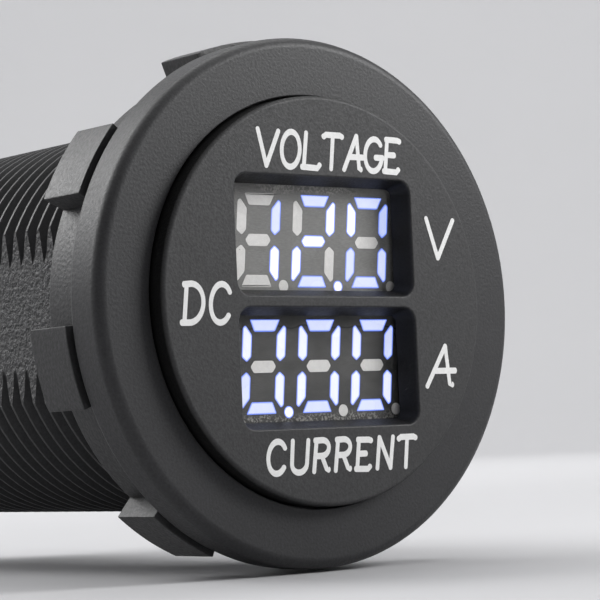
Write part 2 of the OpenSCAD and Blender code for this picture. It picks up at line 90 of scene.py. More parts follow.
class Term:
    """A number that changes over a surface, with the arithmetic that finishes use."""

    def __init__(self, graph: "Graph", socket: bpy.types.NodeSocket) -> None:
        """Holds one output socket of one graph."""
        self.graph = graph
        self.socket = socket

    def maths(self, operation: str, *values: "Term | float") -> "Term":
        """Adds one Math node.

        Args:
            operation: The Math node's operation.
            values: The node's inputs, in order.

        Returns:
            The node's result.
        """
        node = self.graph.node("ShaderNodeMath", {"operation": operation}, dict(enumerate(values)))
        return Term(self.graph, node.outputs[0])

    def __add__(self, other: "Term | float") -> "Term":
        """Adds."""
        return self.maths("ADD", self, other)

    def __radd__(self, other: float) -> "Term":
        """Adds to a number."""
        return self.maths("ADD", other, self)

    def __sub__(self, other: "Term | float") -> "Term":
        """Takes away."""
        return self.maths("SUBTRACT", self, other)

    def __rsub__(self, other: float) -> "Term":
        """Is taken away from a number."""
        return self.maths("SUBTRACT", other, self)

    def __mul__(self, other: "Term | float") -> "Term":
        """Multiplies."""
        return self.maths("MULTIPLY", self, other)

    def __rmul__(self, other: float) -> "Term":
        """Multiplies a number."""
        return self.maths("MULTIPLY", other, self)

    def __pow__(self, other: float) -> "Term":
        """Raises to a power."""
        return self.maths("POWER", self, other)

    def __abs__(self) -> "Term":
        """Drops the sign."""
        return self.maths("ABSOLUTE", self)

    def rounded(self) -> "Term":
        """The nearest whole number."""
        return self.maths("ROUND", self)

    def ramp(self, low: float, high: float) -> "Term":
        """Rises smoothly from 0 at low to 1 at high; it falls where low is the larger.

        Args:
            low: The value where the result is 0.
            high: The value where the result is 1.

        Returns:
            The result, held between 0 and 1.
        """
        rising = low < high
        node = self.graph.node(
            "ShaderNodeMapRange",
            {"interpolation_type": "SMOOTHSTEP"},
            {
                "Value": self,
                "From Min": min(low, high),
                "From Max": max(low, high),
                "To Min": 0.0 if rising else 1.0,
                "To Max": 1.0 if rising else 0.0,
            },
        )
        return Term(self.graph, node.outputs["Result"])


class Graph:
    """The node tree of one material, with the few nodes that finishes are made from."""

    def __init__(self, name: str) -> None:
        """Makes an empty material.

        Args:
            name: The material's name.
        """
        self.material = bpy.data.materials.new(name)
        self.material.use_nodes = True
        self.tree = self.material.node_tree
        self.tree.nodes.clear()

    def node(
        self, kind: str, settings: dict[str, object], sockets: dict[object, object]
    ) -> bpy.types.Node:
        """Adds any node.

        Args:
            kind: The node's type.
            settings: Its own settings, which are set first.
            sockets: The value or link of each of its inputs, by name or number.

        Returns:
            The new node.
        """
        made = self.tree.nodes.new(kind)
        for name, value in settings.items():
            setattr(made, name, value)
        for key, value in sockets.items():
            source = value.socket if isinstance(value, Term) else value
            if isinstance(source, bpy.types.NodeSocket):
                self.tree.links.new(source, made.inputs[key])
            else:
                made.inputs[key].default_value = source
        return made

    def place(self, stretch: Triple = (1, 1, 1)) -> bpy.types.NodeSocket:
        """The object's own coordinates, in millimetres.

        Args:
            stretch: How far a pattern on them is drawn out along each axis.

        Returns:
            The coordinates' socket.
        """
        where = self.node("ShaderNodeTexCoord", {}, {}).outputs["Object"]
        scale = tuple(1 / (MM * s) for s in stretch)
        return self.node("ShaderNodeMapping", {}, {"Vector": where, "Scale": scale}).outputs[0]

    def axis(self, name: str) -> Term:
        """One of the object's own coordinates, X, Y or Z, in millimetres."""
        split = self.node("ShaderNodeSeparateXYZ", {}, {0: self.place()})
        return Term(self, split.outputs[name])

    def attribute(self, name: str) -> Term:
        """A number that the mesh carries at its vertices."""
        return Term(self, self.node("ShaderNodeAttribute", {"attribute_name": name}, {}).outputs["Fac"])

    def noise(self, size: float, detail: float = 2.0, stretch: Triple = (1, 1, 1)) -> Term:
        """Soft noise about 0.

        Args:
            size: The size of its largest features in millimetres.
            detail: How many finer layers it has.
            stretch: How far it is drawn out along each axis.

        Returns:
            The noise, from about -0.5 to 0.5.
        """
        node = self.node(
            "ShaderNodeTexNoise", {}, {"Vector": self.place(stretch), "Scale": 1 / size, "Detail": detail}
        )
        return Term(self, node.outputs["Fac"]) - 0.5

    def cells(self, size: float) -> Term:
        """Distance from scattered points about size millimetres apart, from 0 to about 1."""
        node = self.node("ShaderNodeTexVoronoi", {}, {"Vector": self.place(), "Scale": 1 / size})
        return Term(self, node.outputs["Distance"])

    def wander(self, along: Term, size: float, seed: float) -> Term:
        """Noise about 0 that changes along one coordinate only.

        Args:
            along: The coordinate.
            size: The size of its features in millimetres.
            seed: Where in the noise it starts.

        Returns:
            The noise, from about -0.5 to 0.5.
        """
        node = self.node(
            "ShaderNodeTexNoise",
            {"noise_dimensions": "1D"},
            {"W": along * (1 / size) + seed, "Scale": 1.0, "Detail": 1.0},
        )
        return Term(self, node.outputs["Fac"]) - 0.5

    def shade(self, colour: object, amount: Term) -> bpy.types.NodeSocket:
        """A colour, or a link to one, made lighter or darker by an amount."""
        node = self.node("ShaderNodeVectorMath", {"operation": "SCALE"}, {0: colour, "Scale": amount})
        return node.outputs[0]

    def mix(self, amount: Term, first: object, second: object) -> bpy.types.NodeSocket:
        """Mixes two colours.

        Args:
            amount: How much there is of the second.
            first: A colour or a link.
            second: A colour or a link.

        Returns:
            The mixed colour's socket.
        """
        ends = [(*c, 1.0) if isinstance(c, tuple) else c for c in (first, second)]
        sockets = {0: amount, 6: ends[0], 7: ends[1]}
        return self.node("ShaderNodeMix", {"data_type": "RGBA"}, sockets).outputs[2]

    def relief(self, height: Term, depth: float) -> bpy.types.NodeSocket:
        """A surface normal for a height, where 1 stands depth millimetres high."""
        return self.node("ShaderNodeBump", {}, {"Height": height, "Distance": depth * MM}).outputs[0]


# ---- finishes


@dataclass(frozen=True)
class Finish:
    """A finish: the name of its material, its base colour and its roughness."""

    name: str
    colour: Colour
    roughness: float

    def sockets(self, g: Graph) -> dict[str, object]:
        """The values and links of the shader's sockets.

        Args:
            g: The material's graph.

        Returns:
            The values and links of the shader's sockets.
        """
        tone = 1 + g.noise(0.8) * 0.2
        return {"Base Color": g.shade(self.colour, tone), "Roughness": self.roughness + g.noise(0.5) * 0.1}

    def material(self) -> bpy.types.Material:
        """Makes the material, or finds it if it has been made.

        Returns:
            The material.
        """
        if self.name in MADE:
            return MADE[self.name]
        g = Graph(self.name)
        shader = g.node("ShaderNodeBsdfPrincipled", {}, self.sockets(g))
        g.node("ShaderNodeOutputMaterial", {}, {"Surface": shader.outputs[0]})
        MADE[self.name] = g.material
        return g.material


@dataclass(frozen=True)
class MouldedPlastic(Finish):
    """Matt plastic with the fine grain of a spark-eroded mould."""

    grain: float = 0.2
    depth: float = 0.02
    gloss: float = 0.42

    def painted_recess_shade(self, g: Graph) -> Term | float:
        """The painted shade of the plastic where it lies in a recess, as a factor on its colour; plainly
        moulded plastic has none.
        """
        return 1.0

    def sockets(self, g: Graph) -> dict[str, object]:
        """Grain in relief and gloss, with slow blotches in colour and any painted recess shade.

        Args:
            g: The material's graph.

        Returns:
            The values and links of the shader's sockets.
        """
        grain = g.noise(self.grain, 3)
        blotch = g.noise(3.5, 3)
        # The recess factor is painted shade: it darkens the colour where the surface lies behind the cap's
        # face.
        tone = (1 + grain * 1.1 + blotch * 0.35) * self.painted_recess_shade(g)
        return {
            "Base Color": g.shade(self.colour, tone),
            "Roughness": self.roughness - grain * 0.3 + blotch * 0.12,
            "Specular IOR Level": self.gloss,
            "Normal": g.relief(grain + blotch * 0.3, self.depth),
        }


@dataclass(frozen=True)
class CapPlastic(MouldedPlastic):
    """The front cap's plastic, with deep black shade painted in behind its face so that the window wells
    and the cap's side wall stay dark.
    """

    painted_shade_from: float = -4.42
    painted_shade_full: float = -4.1

    def painted_recess_shade(self, g: Graph) -> Term:
        """Painted shade: darker from just behind the face."""
        return 1 - g.axis("Y").ramp(self.painted_shade_from, self.painted_shade_full) * 0.94


@dataclass(frozen=True)
class BodyPlastic(MouldedPlastic):
    """The housing's plastic: smooth on the flange, coarse on the side flats, with glints painted there as
    lighter specks.
    """

    flat_x: float = 13.1

    def sockets(self, g: Graph) -> dict[str, object]:
        """The moulded grain, with a rough tooled texture at flat_x and glints painted there as lighter
        specks.

        Args:
            g: The material's graph.

        Returns:
            The values and links of the shader's sockets.
        """
        grain = g.noise(self.grain, 3)
        blotch = g.noise(3.5, 3)
        across = abs(g.axis("X"))
        behind = g.axis("Y").ramp(4.9, 5.0)
        inner = across.ramp(self.flat_x - 0.05, self.flat_x - 0.02)
        flat = inner * behind * across.ramp(self.flat_x + 0.05, self.flat_x + 0.02)
        coarse = g.noise(0.34, 4)
        # Painted highlight: the lighter specks on the flats stand in for glints of light on their coarse
        # texture; the flats are also set a little darker.
        painted_glints = coarse.ramp(0.04, 0.16)
        tone = 1 + grain * 1.1 + blotch * 0.35 + flat * (painted_glints * 1.3 - 0.3)
        height = grain + blotch * 0.3 + flat * coarse * 14
        return {
            "Base Color": g.shade(self.colour, tone),
            "Roughness": self.roughness - grain * 0.25 + flat * coarse * 0.3,
            "Specular IOR Level": self.gloss,
            "Normal": g.relief(height, self.depth),
        }


@dataclass(frozen=True)
class PrintedInk(Finish):
    """Pad-printed ink: even, a little thin over the plastic's grain."""

    def sockets(self, g: Graph) -> dict[str, object]:
        """Light patches and pinholes.

        Args:
            g: The material's graph.

        Returns:
            The values and links of the shader's sockets.
        """
        pinhole = g.cells(0.25).ramp(0.14, 0.05)
        tone = 1 + g.noise(0.3, 3) * 0.22 - pinhole * 0.12
        return {
            "Base Color": g.shade(self.colour, tone),
            "Roughness": self.roughness + g.noise(0.2) * 0.15,
            "Normal": g.relief(g.noise(0.17, 2), 0.008),
        }


@dataclass(frozen=True)
class SegmentResin(Finish):
    """Milky resin of a segment, which glows as its mesh's attributes say.

    glow is how strongly it shines, hue leads from white to blue, and rim is 1 at the
    segment's outline and 0 inside it.
    """

    core: Colour = (1.0, 1.0, 1.05)
    cool: Colour = (0.41, 0.52, 0.95)
    fringe: Colour = (0.06, 0.19, 1.0)

    def sockets(self, g: Graph) -> dict[str, object]:
        """A bright core in a blue fringe.

        Args:
            g: The material's graph.

        Returns:
            The values and links of the shader's sockets.
        """
        rim = g.attribute("rim") ** 0.6
        spread = 1 + g.noise(0.9, 1) * 0.12
        inside = g.mix(g.attribute("hue"), self.core, self.cool)
        colour = g.mix(rim, inside, self.fringe)
        return {
            "Base Color": g.shade(self.colour, 1 + g.noise(0.35, 3) * 0.25),
            "Roughness": self.roughness + g.noise(0.3) * 0.1,
            "Emission Color": g.shade(colour, g.attribute("glow") * spread),
            "Emission Strength": 1.0,
            "Normal": g.relief(g.noise(0.3, 3), 0.01),
        }


@dataclass(frozen=True)
class DisplayFace(Finish):
    """Grey printed face of a display: smudged, with dried glue along one long edge.

    The heights of its upper and lower edges tell where the glue and the crease are.
    """

    top: float = 0.0
    bottom: float = 0.0
    smudge: float = 0.3
    crease: float = 0.0
    glue_high: float = 0.0
    glue_low: float = 0.0
    dark: Colour = (0.012, 0.012, 0.014)
    pale: Colour = (0.5, 0.49, 0.46)

    def sockets(self, g: Graph) -> dict[str, object]:
        """Cloudy smudges over a fine tooth, then the glue and the crease.

        Args:
            g: The material's graph.

        Returns:
            The values and links of the shader's sockets.
        """
        x, z = g.axis("X"), g.axis("Z")
        tooth = g.noise(0.13, 2, (2.5, 1, 0.7))
        cloud = g.noise(1.6, 3, (1.6, 1, 0.7))
        tone = 1 + cloud * self.smudge * 3 + tooth * 0.5
        ragged = g.wander(x, 1.3, 3.0) * 0.7
        crumbs = g.noise(0.16, 3).ramp(-0.06, 0.12)
        low = (z + ragged).ramp(self.bottom + 1.45, self.bottom + 0.8) * self.glue_low
        high = (z + ragged).ramp(self.top - 1.35, self.top - 0.95) * self.glue_high
        glue = (low + high * abs(x).ramp(5.5, 3.0)) * crumbs
        height = self.top - 1.5 + g.wander(x, 2.4, 8.0) * 0.7
        crease = abs(z - height).ramp(0.07, 0.03) * self.crease
        printed = g.mix(glue, g.shade(self.colour, tone), self.pale)
        return {
            "Base Color": g.mix(crease, printed, self.dark),
            "Roughness": self.roughness + cloud * 0.2,
            "Normal": g.relief(tooth * 0.4 + glue, 0.03),
        }


@dataclass(frozen=True)
class ClearFilm(Finish):
    """Thin clear film with a little dust, with a blue glow painted on its rim for LED light that leaks
    along its edge.
    """

    painted_rim_glow: float = 0.0

    def sockets(self, g: Graph) -> dict[str, object]:
        """Nearly clear, with dust that shows and a painted blue glow on the rim.

        Args:
            g: The material's graph.

        Returns:
            The values and links of the shader's sockets.
        """
        dust = g.cells(1.6).ramp(0.03, 0.015)
        # Painted light: the rim glows blue and is more opaque, standing in for LED light that leaks along
        # the film's edge.
        rim = g.attribute("rim") * self.painted_rim_glow
        return {
            "Base Color": g.mix(dust, self.colour, (0.6, 0.6, 0.58)),
            "Roughness": self.roughness + g.noise(0.6) * 0.1,
            "Alpha": 0.03 + dust * 0.4 + rim,
            "Emission Color": g.shade((0.02, 0.12, 1.0), rim),
            "Emission Strength": 1.0,
        }


@dataclass(frozen=True)
class Rubber(Finish):
    """Soft rubber with a bloom on it."""

    def sockets(self, g: Graph) -> dict[str, object]:
        """Bloom in patches.

        Args:
            g: The material's graph.

        Returns:
            The values and links of the shader's sockets.
        """
        bloom = g.noise(0.9, 4).ramp(0.0, 0.25)
        return {
            "Base Color": g.mix(bloom * 0.5, self.colour, tuple(c * 1.7 for c in self.colour)),
            "Roughness": self.roughness + bloom * 0.1,
            "Normal": g.relief(g.noise(0.1, 2), 0.01),
        }


@dataclass(frozen=True)
class CircuitBoard(Finish):
    """Solder mask over copper tracks."""

    track: Colour = (0.05, 0.24, 0.10)

    def sockets(self, g: Graph) -> dict[str, object]:
        """Tracks that show through the mask and stand a little proud.

        Args:
            g: The material's graph.

        Returns:
            The values and links of the shader's sockets.
        """
        bands = g.noise(1.5, 0, (4, 1, 1)) * 9
        tracks = abs(bands - bands.rounded()).ramp(0.32, 0.38)
        weave = g.noise(0.25, 2)
        return {
            "Base Color": g.mix(tracks, self.colour, self.track),
            "Roughness": self.roughness + weave * 0.12,
            "Normal": g.relief(tracks + weave * 0.3, 0.03),
        }


@dataclass(frozen=True)
class Metal(Finish):
    """Bare or plated metal, with drawing marks along Y and tarnish in patches."""

    tarnish: Colour = (0.30, 0.29, 0.28)
    dulling: float = 0.35

    def sockets(self, g: Graph) -> dict[str, object]:
        """Drawing marks in relief, tarnish in colour and gloss.

        Args:
            g: The material's graph.

        Returns:
            The values and links of the shader's sockets.
        """
        marks = g.noise(0.09, 2, (1, 30, 1))
        patch = g.noise(1.8, 4).ramp(-0.05, 0.25)
        return {
            "Base Color": g.mix(patch * self.dulling, self.colour, self.tarnish),
            "Metallic": 1.0,
            "Roughness": self.roughness + patch * 0.18 + marks * 0.12,
            "Normal": g.relief(marks, 0.006),
        }


@dataclass(frozen=True)
class ChipPackage(Finish):
    """A moulded chip: its legs are tinned beyond half its body's height from its middle."""

    middle: float = 0.0
    half: float = 100.0
    leg: Colour = (0.72, 0.71, 0.69)

    def sockets(self, g: Graph) -> dict[str, object]:
        """Plastic inside the body's outline, tin outside it.

        Args:
            g: The material's graph.

        Returns:
            The values and links of the shader's sockets.
        """
        legs = abs(g.axis("Z") - self.middle).ramp(self.half, self.half + 0.02)
        grain = g.noise(0.12, 2)
        return {
            "Base Color": g.mix(legs, g.shade(self.colour, 1 + grain * 0.5), self.leg),
            "Metallic": legs,
            "Roughness": self.roughness - legs * 0.25 + grain * 0.1,
            "Normal": g.relief(grain, 0.01),
        }


@dataclass(frozen=True)
class Glazed(Finish):
    """Smooth coated surface with faint flow marks: sleeve, ceramic or wire jacket."""

    flow: Triple = (1, 8, 1)

    def sockets(self, g: Graph) -> dict[str, object]:
        """Flow marks along the piece.

        Args:
            g: The material's graph.

        Returns:
            The values and links of the shader's sockets.
        """
        mark = g.noise(0.5, 3, self.flow)
        return {
            "Base Color": g.shade(self.colour, 1 + mark * 0.35),
            "Roughness": self.roughness + mark * 0.2,
            "Normal": g.relief(mark, 0.01),
        }


@dataclass(frozen=True)
class PaperSweep(Finish):
    """Matt studio paper."""

    def sockets(self, g: Graph) -> dict[str, object]:
        """Barely mottled.

        Args:
            g: The material's graph.

        Returns:
            The values and links of the shader's sockets.
        """
        return {
            "Base Color": g.shade(self.colour, 1 + g.noise(60.0, 3) * 0.03),
            "Roughness": self.roughness + g.noise(20.0) * 0.05,
        }


BLACK = (0.022, 0.022, 0.0235)
HOUSING = BodyPlastic("housing_plastic", BLACK, 0.5)
CAP = CapPlastic("cap_plastic", (0.026, 0.026, 0.027), 0.56, grain=0.19)
NUT = MouldedPlastic("nut_plastic", (0.024, 0.024, 0.025), 0.46, grain=0.24, depth=0.035)
REAR = MouldedPlastic("rear_plastic", (0.022, 0.022, 0.023), 0.5)
INK = PrintedInk("legend_ink", (0.78, 0.78, 0.77), 0.6)
LIT = SegmentResin("lit_resin", (0.12, 0.12, 0.14), 0.45)
UNLIT = SegmentResin("unlit_resin", (0.80, 0.79, 0.77), 0.5)
RUBBER = Rubber("seal_rubber", (0.03, 0.03, 0.031), 0.75)
BOARD = CircuitBoard("solder_mask", (0.012, 0.11, 0.04), 0.35)
TIN = Metal("tinned_brass", (0.72, 0.71, 0.68), 0.3)
SOLDER = Metal("solder", (0.62, 0.62, 0.62), 0.35)
GOLD = Metal("gold_flash", (0.83, 0.61, 0.28), 0.25, tarnish=(0.5, 0.36, 0.18))
CAN = Metal("can_aluminium", (0.80, 0.81, 0.82), 0.28)
SHUNT = Metal("shunt_alloy", (0.66, 0.42, 0.27), 0.38, tarnish=(0.33, 0.2, 0.13))
COPPER = Metal("tinned_copper", (0.74, 0.6, 0.46), 0.3)
CHIP = Finish("header_plastic", (0.02, 0.02, 0.02), 0.5)
SLEEVE = Glazed("can_sleeve", (0.01, 0.02, 0.07), 0.3)
CERAMIC = Glazed("ceramic", (0.42, 0.31, 0.19), 0.45)
JACKET = Glazed("wire_jacket", (0.32, 0.02, 0.02), 0.4)
PAPER = PaperSweep("studio_paper", (0.42, 0.42, 0.43), 0.9)


# ---- mesh building


class Join(Enum):
    """How one solid is joined with another."""

    UNION = "UNION"
    CUT = "DIFFERENCE"


def arc(x: float, y: float, r: float, start: float, end: float, steps: int) -> list[Point]:
    """Points along an arc.

    Args:
        x: The centre's first coordinate.
        y: The centre's second coordinate.
        r: The radius.
        start: The first point's angle in degrees.
        end: The last point's angle in degrees.
        steps: The number of steps between them.

    Returns:
        The points, both ends included.
    """
    angles = [math.radians(start + (end - start) * i / steps) for i in range(steps + 1)]
    return [(x + r * math.cos(a), y + r * math.sin(a)) for a in angles]


def verts_in(made: dict[str, list]) -> list[bmesh.types.BMVert]:
    """The vertices among what an operator made."""
    return [item for item in made["geom"] if isinstance(item, bmesh.types.BMVert)]


class Blank:
    """A mesh in the making, in millimetres, with the operators that pieces share."""

    def __init__(self) -> None:
        """Starts empty."""
        self.mesh = bmesh.new()

    def outline(
        self, points: list[Point], closed: bool = True
    ) -> tuple[list[bmesh.types.BMVert], list[bmesh.types.BMEdge]]:
        """An outline in the plane of X and Y.

        Args:
            points: Its corners, as radii and depths.
            closed: Whether the last joins the first.

        Returns:
            Its vertices and its edges.
        """
        verts = [self.mesh.verts.new((r, y, 0)) for r, y in points]
        pairs = zip(verts, verts[1:] + verts[:1]) if closed else zip(verts, verts[1:])
        return verts, [self.mesh.edges.new(pair) for pair in pairs]

    def spin(
        self, geom: list, steps: int, angle: float = TURN, axis: Triple = AXIS, merge: bool = True,
        rise: float = 0.0,
    ) -> None:
        """Spins geometry about an axis through the origin.

        Args:
            geom: The vertices, edges and faces.
            steps: The number of facets.
            angle: The angle in radians.
            axis: The axis.
            merge: Whether the last facet joins the first.
            rise: How far each facet climbs along Y.
        """
        bmesh.ops.spin(
            self.mesh, geom=geom, cent=(0, 0, 0), axis=axis, dvec=(0, rise, 0), angle=angle,
            steps=steps, use_merge=merge, use_normal_flip=False, use_duplicate=False,
        )

    def lathe(
        self, points: list[Point], steps: int = 192, closed: bool = True, turns: int = 1, lead: float = 0.0
    ) -> "Blank":
        """Turns an outline about the Y axis, once or along a helix.

        Args:
            points: The outline, as radii and depths.
            steps: The number of facets in a turn.
            closed: Whether its last point joins its first; an open one ends on the axis.
            turns: The number of turns.
            lead: How far each turn climbs along the axis.

        Returns:
            The blank itself.
        """
        verts, edges = self.outline(points, closed)
        self.spin([*verts, *edges], steps, merge=not lead, rise=lead / steps)
        turn = [*self.mesh.verts, *self.mesh.edges, *self.mesh.faces]
        for k in range(1, turns):
            moved = verts_in(bmesh.ops.duplicate(self.mesh, geom=turn))
            bmesh.ops.translate(self.mesh, vec=(0, k * lead, 0), verts=moved)
        self.merge()
        bmesh.ops.holes_fill(self.mesh, edges=self.mesh.edges[:], sides=0)
        return self

    def sector(self, points: list[Point], degrees: float, steps: int) -> "Blank":
        """Turns a closed outline through an angle about the Y axis, as a closed solid.

        Args:
            points: The outline, as radii and depths.
            degrees: The angle.
            steps: The number of facets.

        Returns:
            The blank itself.
        """
        verts, edges = self.outline(points)
        face = self.mesh.faces.new(verts)
        self.spin([face, *edges, *verts], steps, math.radians(degrees), merge=False)
        return self

    def merge(self, within: float = 1e-4) -> None:
        """Merges vertices that lie at one place."""
        bmesh.ops.remove_doubles(self.mesh, verts=self.mesh.verts[:], dist=within)

    def plate(self, x: float, z: float, w: float, h: float, y: float) -> bmesh.types.BMFace:
        """A rectangle that faces -Y.

        Args:
            x: Its centre across.
            z: Its centre's height.
            w: Its width.
            h: Its height.
            y: Its depth.

        Returns:
            Its face.
        """
        place = Matrix.Translation((x, y, z)) @ Matrix.Rotation(math.pi / 2, 4, "X")
        place = place @ Matrix.Diagonal((w, h, 1, 1))
        made = bmesh.ops.create_grid(self.mesh, x_segments=1, y_segments=1, size=0.5, matrix=place)
        return made["verts"][0].link_faces[0]

    def rounded(self, face: bmesh.types.BMFace, radius: float, segments: int) -> bmesh.types.BMFace:
        """Rounds the corners of a lone face.

        Args:
            face: The face.
            radius: The corners' radius.
            segments: The number of facets at each.

        Returns:
            The rounded face.
        """
        made = bmesh.ops.bevel(
            self.mesh, geom=list(face.verts), offset=radius, offset_type="OFFSET",
            segments=segments, profile=0.5, affect="VERTICES", material=-1,
        )
        return made["verts"][0].link_faces[0]

    def deepen(self, face: bmesh.types.BMFace, depth: float) -> bmesh.types.BMFace:
        """Pulls a face straight back along +Y, with walls round it.

        Args:
            face: The face.
            depth: How far it moves.

        Returns:
            The moved face.
        """
        made = bmesh.ops.extrude_face_region(self.mesh, geom=[face, *face.edges])
        bmesh.ops.translate(self.mesh, vec=(0, depth, 0), verts=verts_in(made))
        return next(item for item in made["geom"] if isinstance(item, bmesh.types.BMFace))

    def inset(self, face: bmesh.types.BMFace, by: float) -> None:
        """Draws a face in and leaves a border round it."""
        bmesh.ops.inset_individual(
            self.mesh, faces=[face], thickness=by, depth=0, use_even_offset=True
        )

    def box(self, low: Vector, high: Vector) -> "Blank":
        """A block between two corners.

        Args:
            low: Its lowest corner.
            high: Its highest corner.

        Returns:
            The blank itself.
        """
        place = Matrix.Translation((low + high) / 2) @ Matrix.Diagonal((*(high - low), 1))
        bmesh.ops.create_cube(self.mesh, size=1, matrix=place)
        return self

    def bevel(self, offset: float, segments: int, sharper: float = 40) -> "Blank":
        """Bevels every edge that turns by more than an angle.

        Args:
            offset: The width of the bevel.
            segments: The number of its facets.
            sharper: The angle in degrees.

        Returns:
            The blank itself.
        """
        limit = math.radians(sharper)
        edges = [e for e in self.mesh.edges if e.is_manifold and e.calc_face_angle(0) > limit]
        bmesh.ops.bevel(
            self.mesh, geom=edges, offset=offset, offset_type="OFFSET", segments=segments,
            profile=0.5, affect="EDGES", material=-1, clamp_overlap=True,
        )
        return self

    def turned(self, degrees: float) -> "Blank":
        """Turns everything made so far about the Y axis.

        Args:
            degrees: The angle, from +X toward +Z.

        Returns:
            The blank itself.
        """
        matrix = Matrix.Rotation(-math.radians(degrees), 3, "Y")
        bmesh.ops.rotate(self.mesh, cent=(0, 0, 0), matrix=matrix, verts=self.mesh.verts[:])
        return self

    def whole(self) -> "Blank":
        """Makes each flat face that has been split up whole again.

        Returns:
            The blank itself.
        """
        bmesh.ops.dissolve_limit(
            self.mesh, angle_limit=math.radians(0.5), use_dissolve_boundaries=False,
            verts=self.mesh.verts[:], edges=self.mesh.edges[:], delimit=set(),
        )
        return self

    def solid(self, name: str) -> bpy.types.Object:
        """Ends the work.

        Args:
            name: The object's name.

        Returns:
            The mesh as an object, still in millimetres, with its faces outwards.
        """
        self.merge()
        bmesh.ops.recalc_face_normals(self.mesh, faces=self.mesh.faces[:])
        if self.mesh.calc_volume(signed=True) < 0:
            bmesh.ops.reverse_faces(self.mesh, faces=self.mesh.faces[:])
        data = bpy.data.meshes.new(name)
        self.mesh.to_mesh(data)
        self.mesh.free()
        made = bpy.data.objects.new(name, data)
        bpy.context.scene.collection.objects.link(made)
        return made


def join(piece: bpy.types.Object, other: bpy.types.Object, how: Join) -> None:
    """Joins a solid with another, or cuts it, and merges what that leaves at one place.

    Args:
        piece: The solid that is changed.
        other: The solid that it is joined with or cut by, which is used up.
        how: Whether it is joined or cut.
    """
    change = piece.modifiers.new(how.name, "BOOLEAN")
    change.operation = how.value
    change.solver = "MANIFOLD"
    change.object = other
    graph = bpy.context.evaluated_depsgraph_get()
    result = bpy.data.meshes.new_from_object(
        piece.evaluated_get(graph), preserve_all_data_layers=True, depsgraph=graph
    )
    spent = piece.data
    piece.modifiers.clear()
    piece.data = result
    bpy.data.meshes.remove(spent)
    bpy.data.objects.remove(other)
    work = Blank()
    work.mesh.from_mesh(result)
    work.merge(TOUCHING)
    bmesh.ops.dissolve_degenerate(work.mesh, edges=work.mesh.edges[:], dist=TOUCHING)
    bmesh.ops.recalc_face_normals(work.mesh, faces=work.mesh.faces[:])
    work.mesh.to_mesh(result)
    work.mesh.free()


def from_node(node: str) -> Blank:
    """Copies a CAD node's mesh, merged, with its flat faces made whole.

    Args:
        node: The node's name.

    Returns:
        The copy, in millimetres.
    """
    blank = Blank()
    blank.mesh.from_mesh(frame["nodes"][node].data)
    bmesh.ops.scale(blank.mesh, vec=(1 / MM,) * 3, verts=blank.mesh.verts[:])
    blank.merge(1e-3)
    return blank.whole()


@dataclass(frozen=True)
class Tag:
    """How a finished piece is named, finished and tied to the frame."""

    name: str
    finish: Finish
    body: str = "meter"
    slot: str = ""
    replaces: tuple[str, ...] = ()
    smooth: float = 32


def deliver(piece: bpy.types.Object, tag: Tag) -> bpy.types.Object:
    """Scales a solid to metres, shades and dresses it and ties it to the frame.

    Args:
        piece: The solid, in millimetres.
        tag: Its name, finish and place in the frame.

    Returns:
        The finished piece.
    """
    piece.name = tag.name
    piece.data.name = tag.name
    piece.data.transform(Matrix.Scale(MM, 4))
    piece.data.shade_smooth()
    piece.data.set_sharp_from_angle(angle=math.radians(tag.smooth))
    even = piece.modifiers.new("even_flats", "WEIGHTED_NORMAL")
    even.keep_sharp = True
    piece.data.materials.clear()
    piece.data.materials.append(tag.finish.material())
    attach(piece, tag.body)
    if tag.replaces:
        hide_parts(*tag.replaces)
    LOG.info("%s: %d faces, %s", tag.name, len(piece.data.polygons), tag.finish.name)
    return piece


def low_high(node: str) -> tuple[Vector, Vector]:
    """The lowest and highest corners of a CAD node, in millimetres."""
    low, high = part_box(node)
    return low / MM, high / MM


# ---- housing


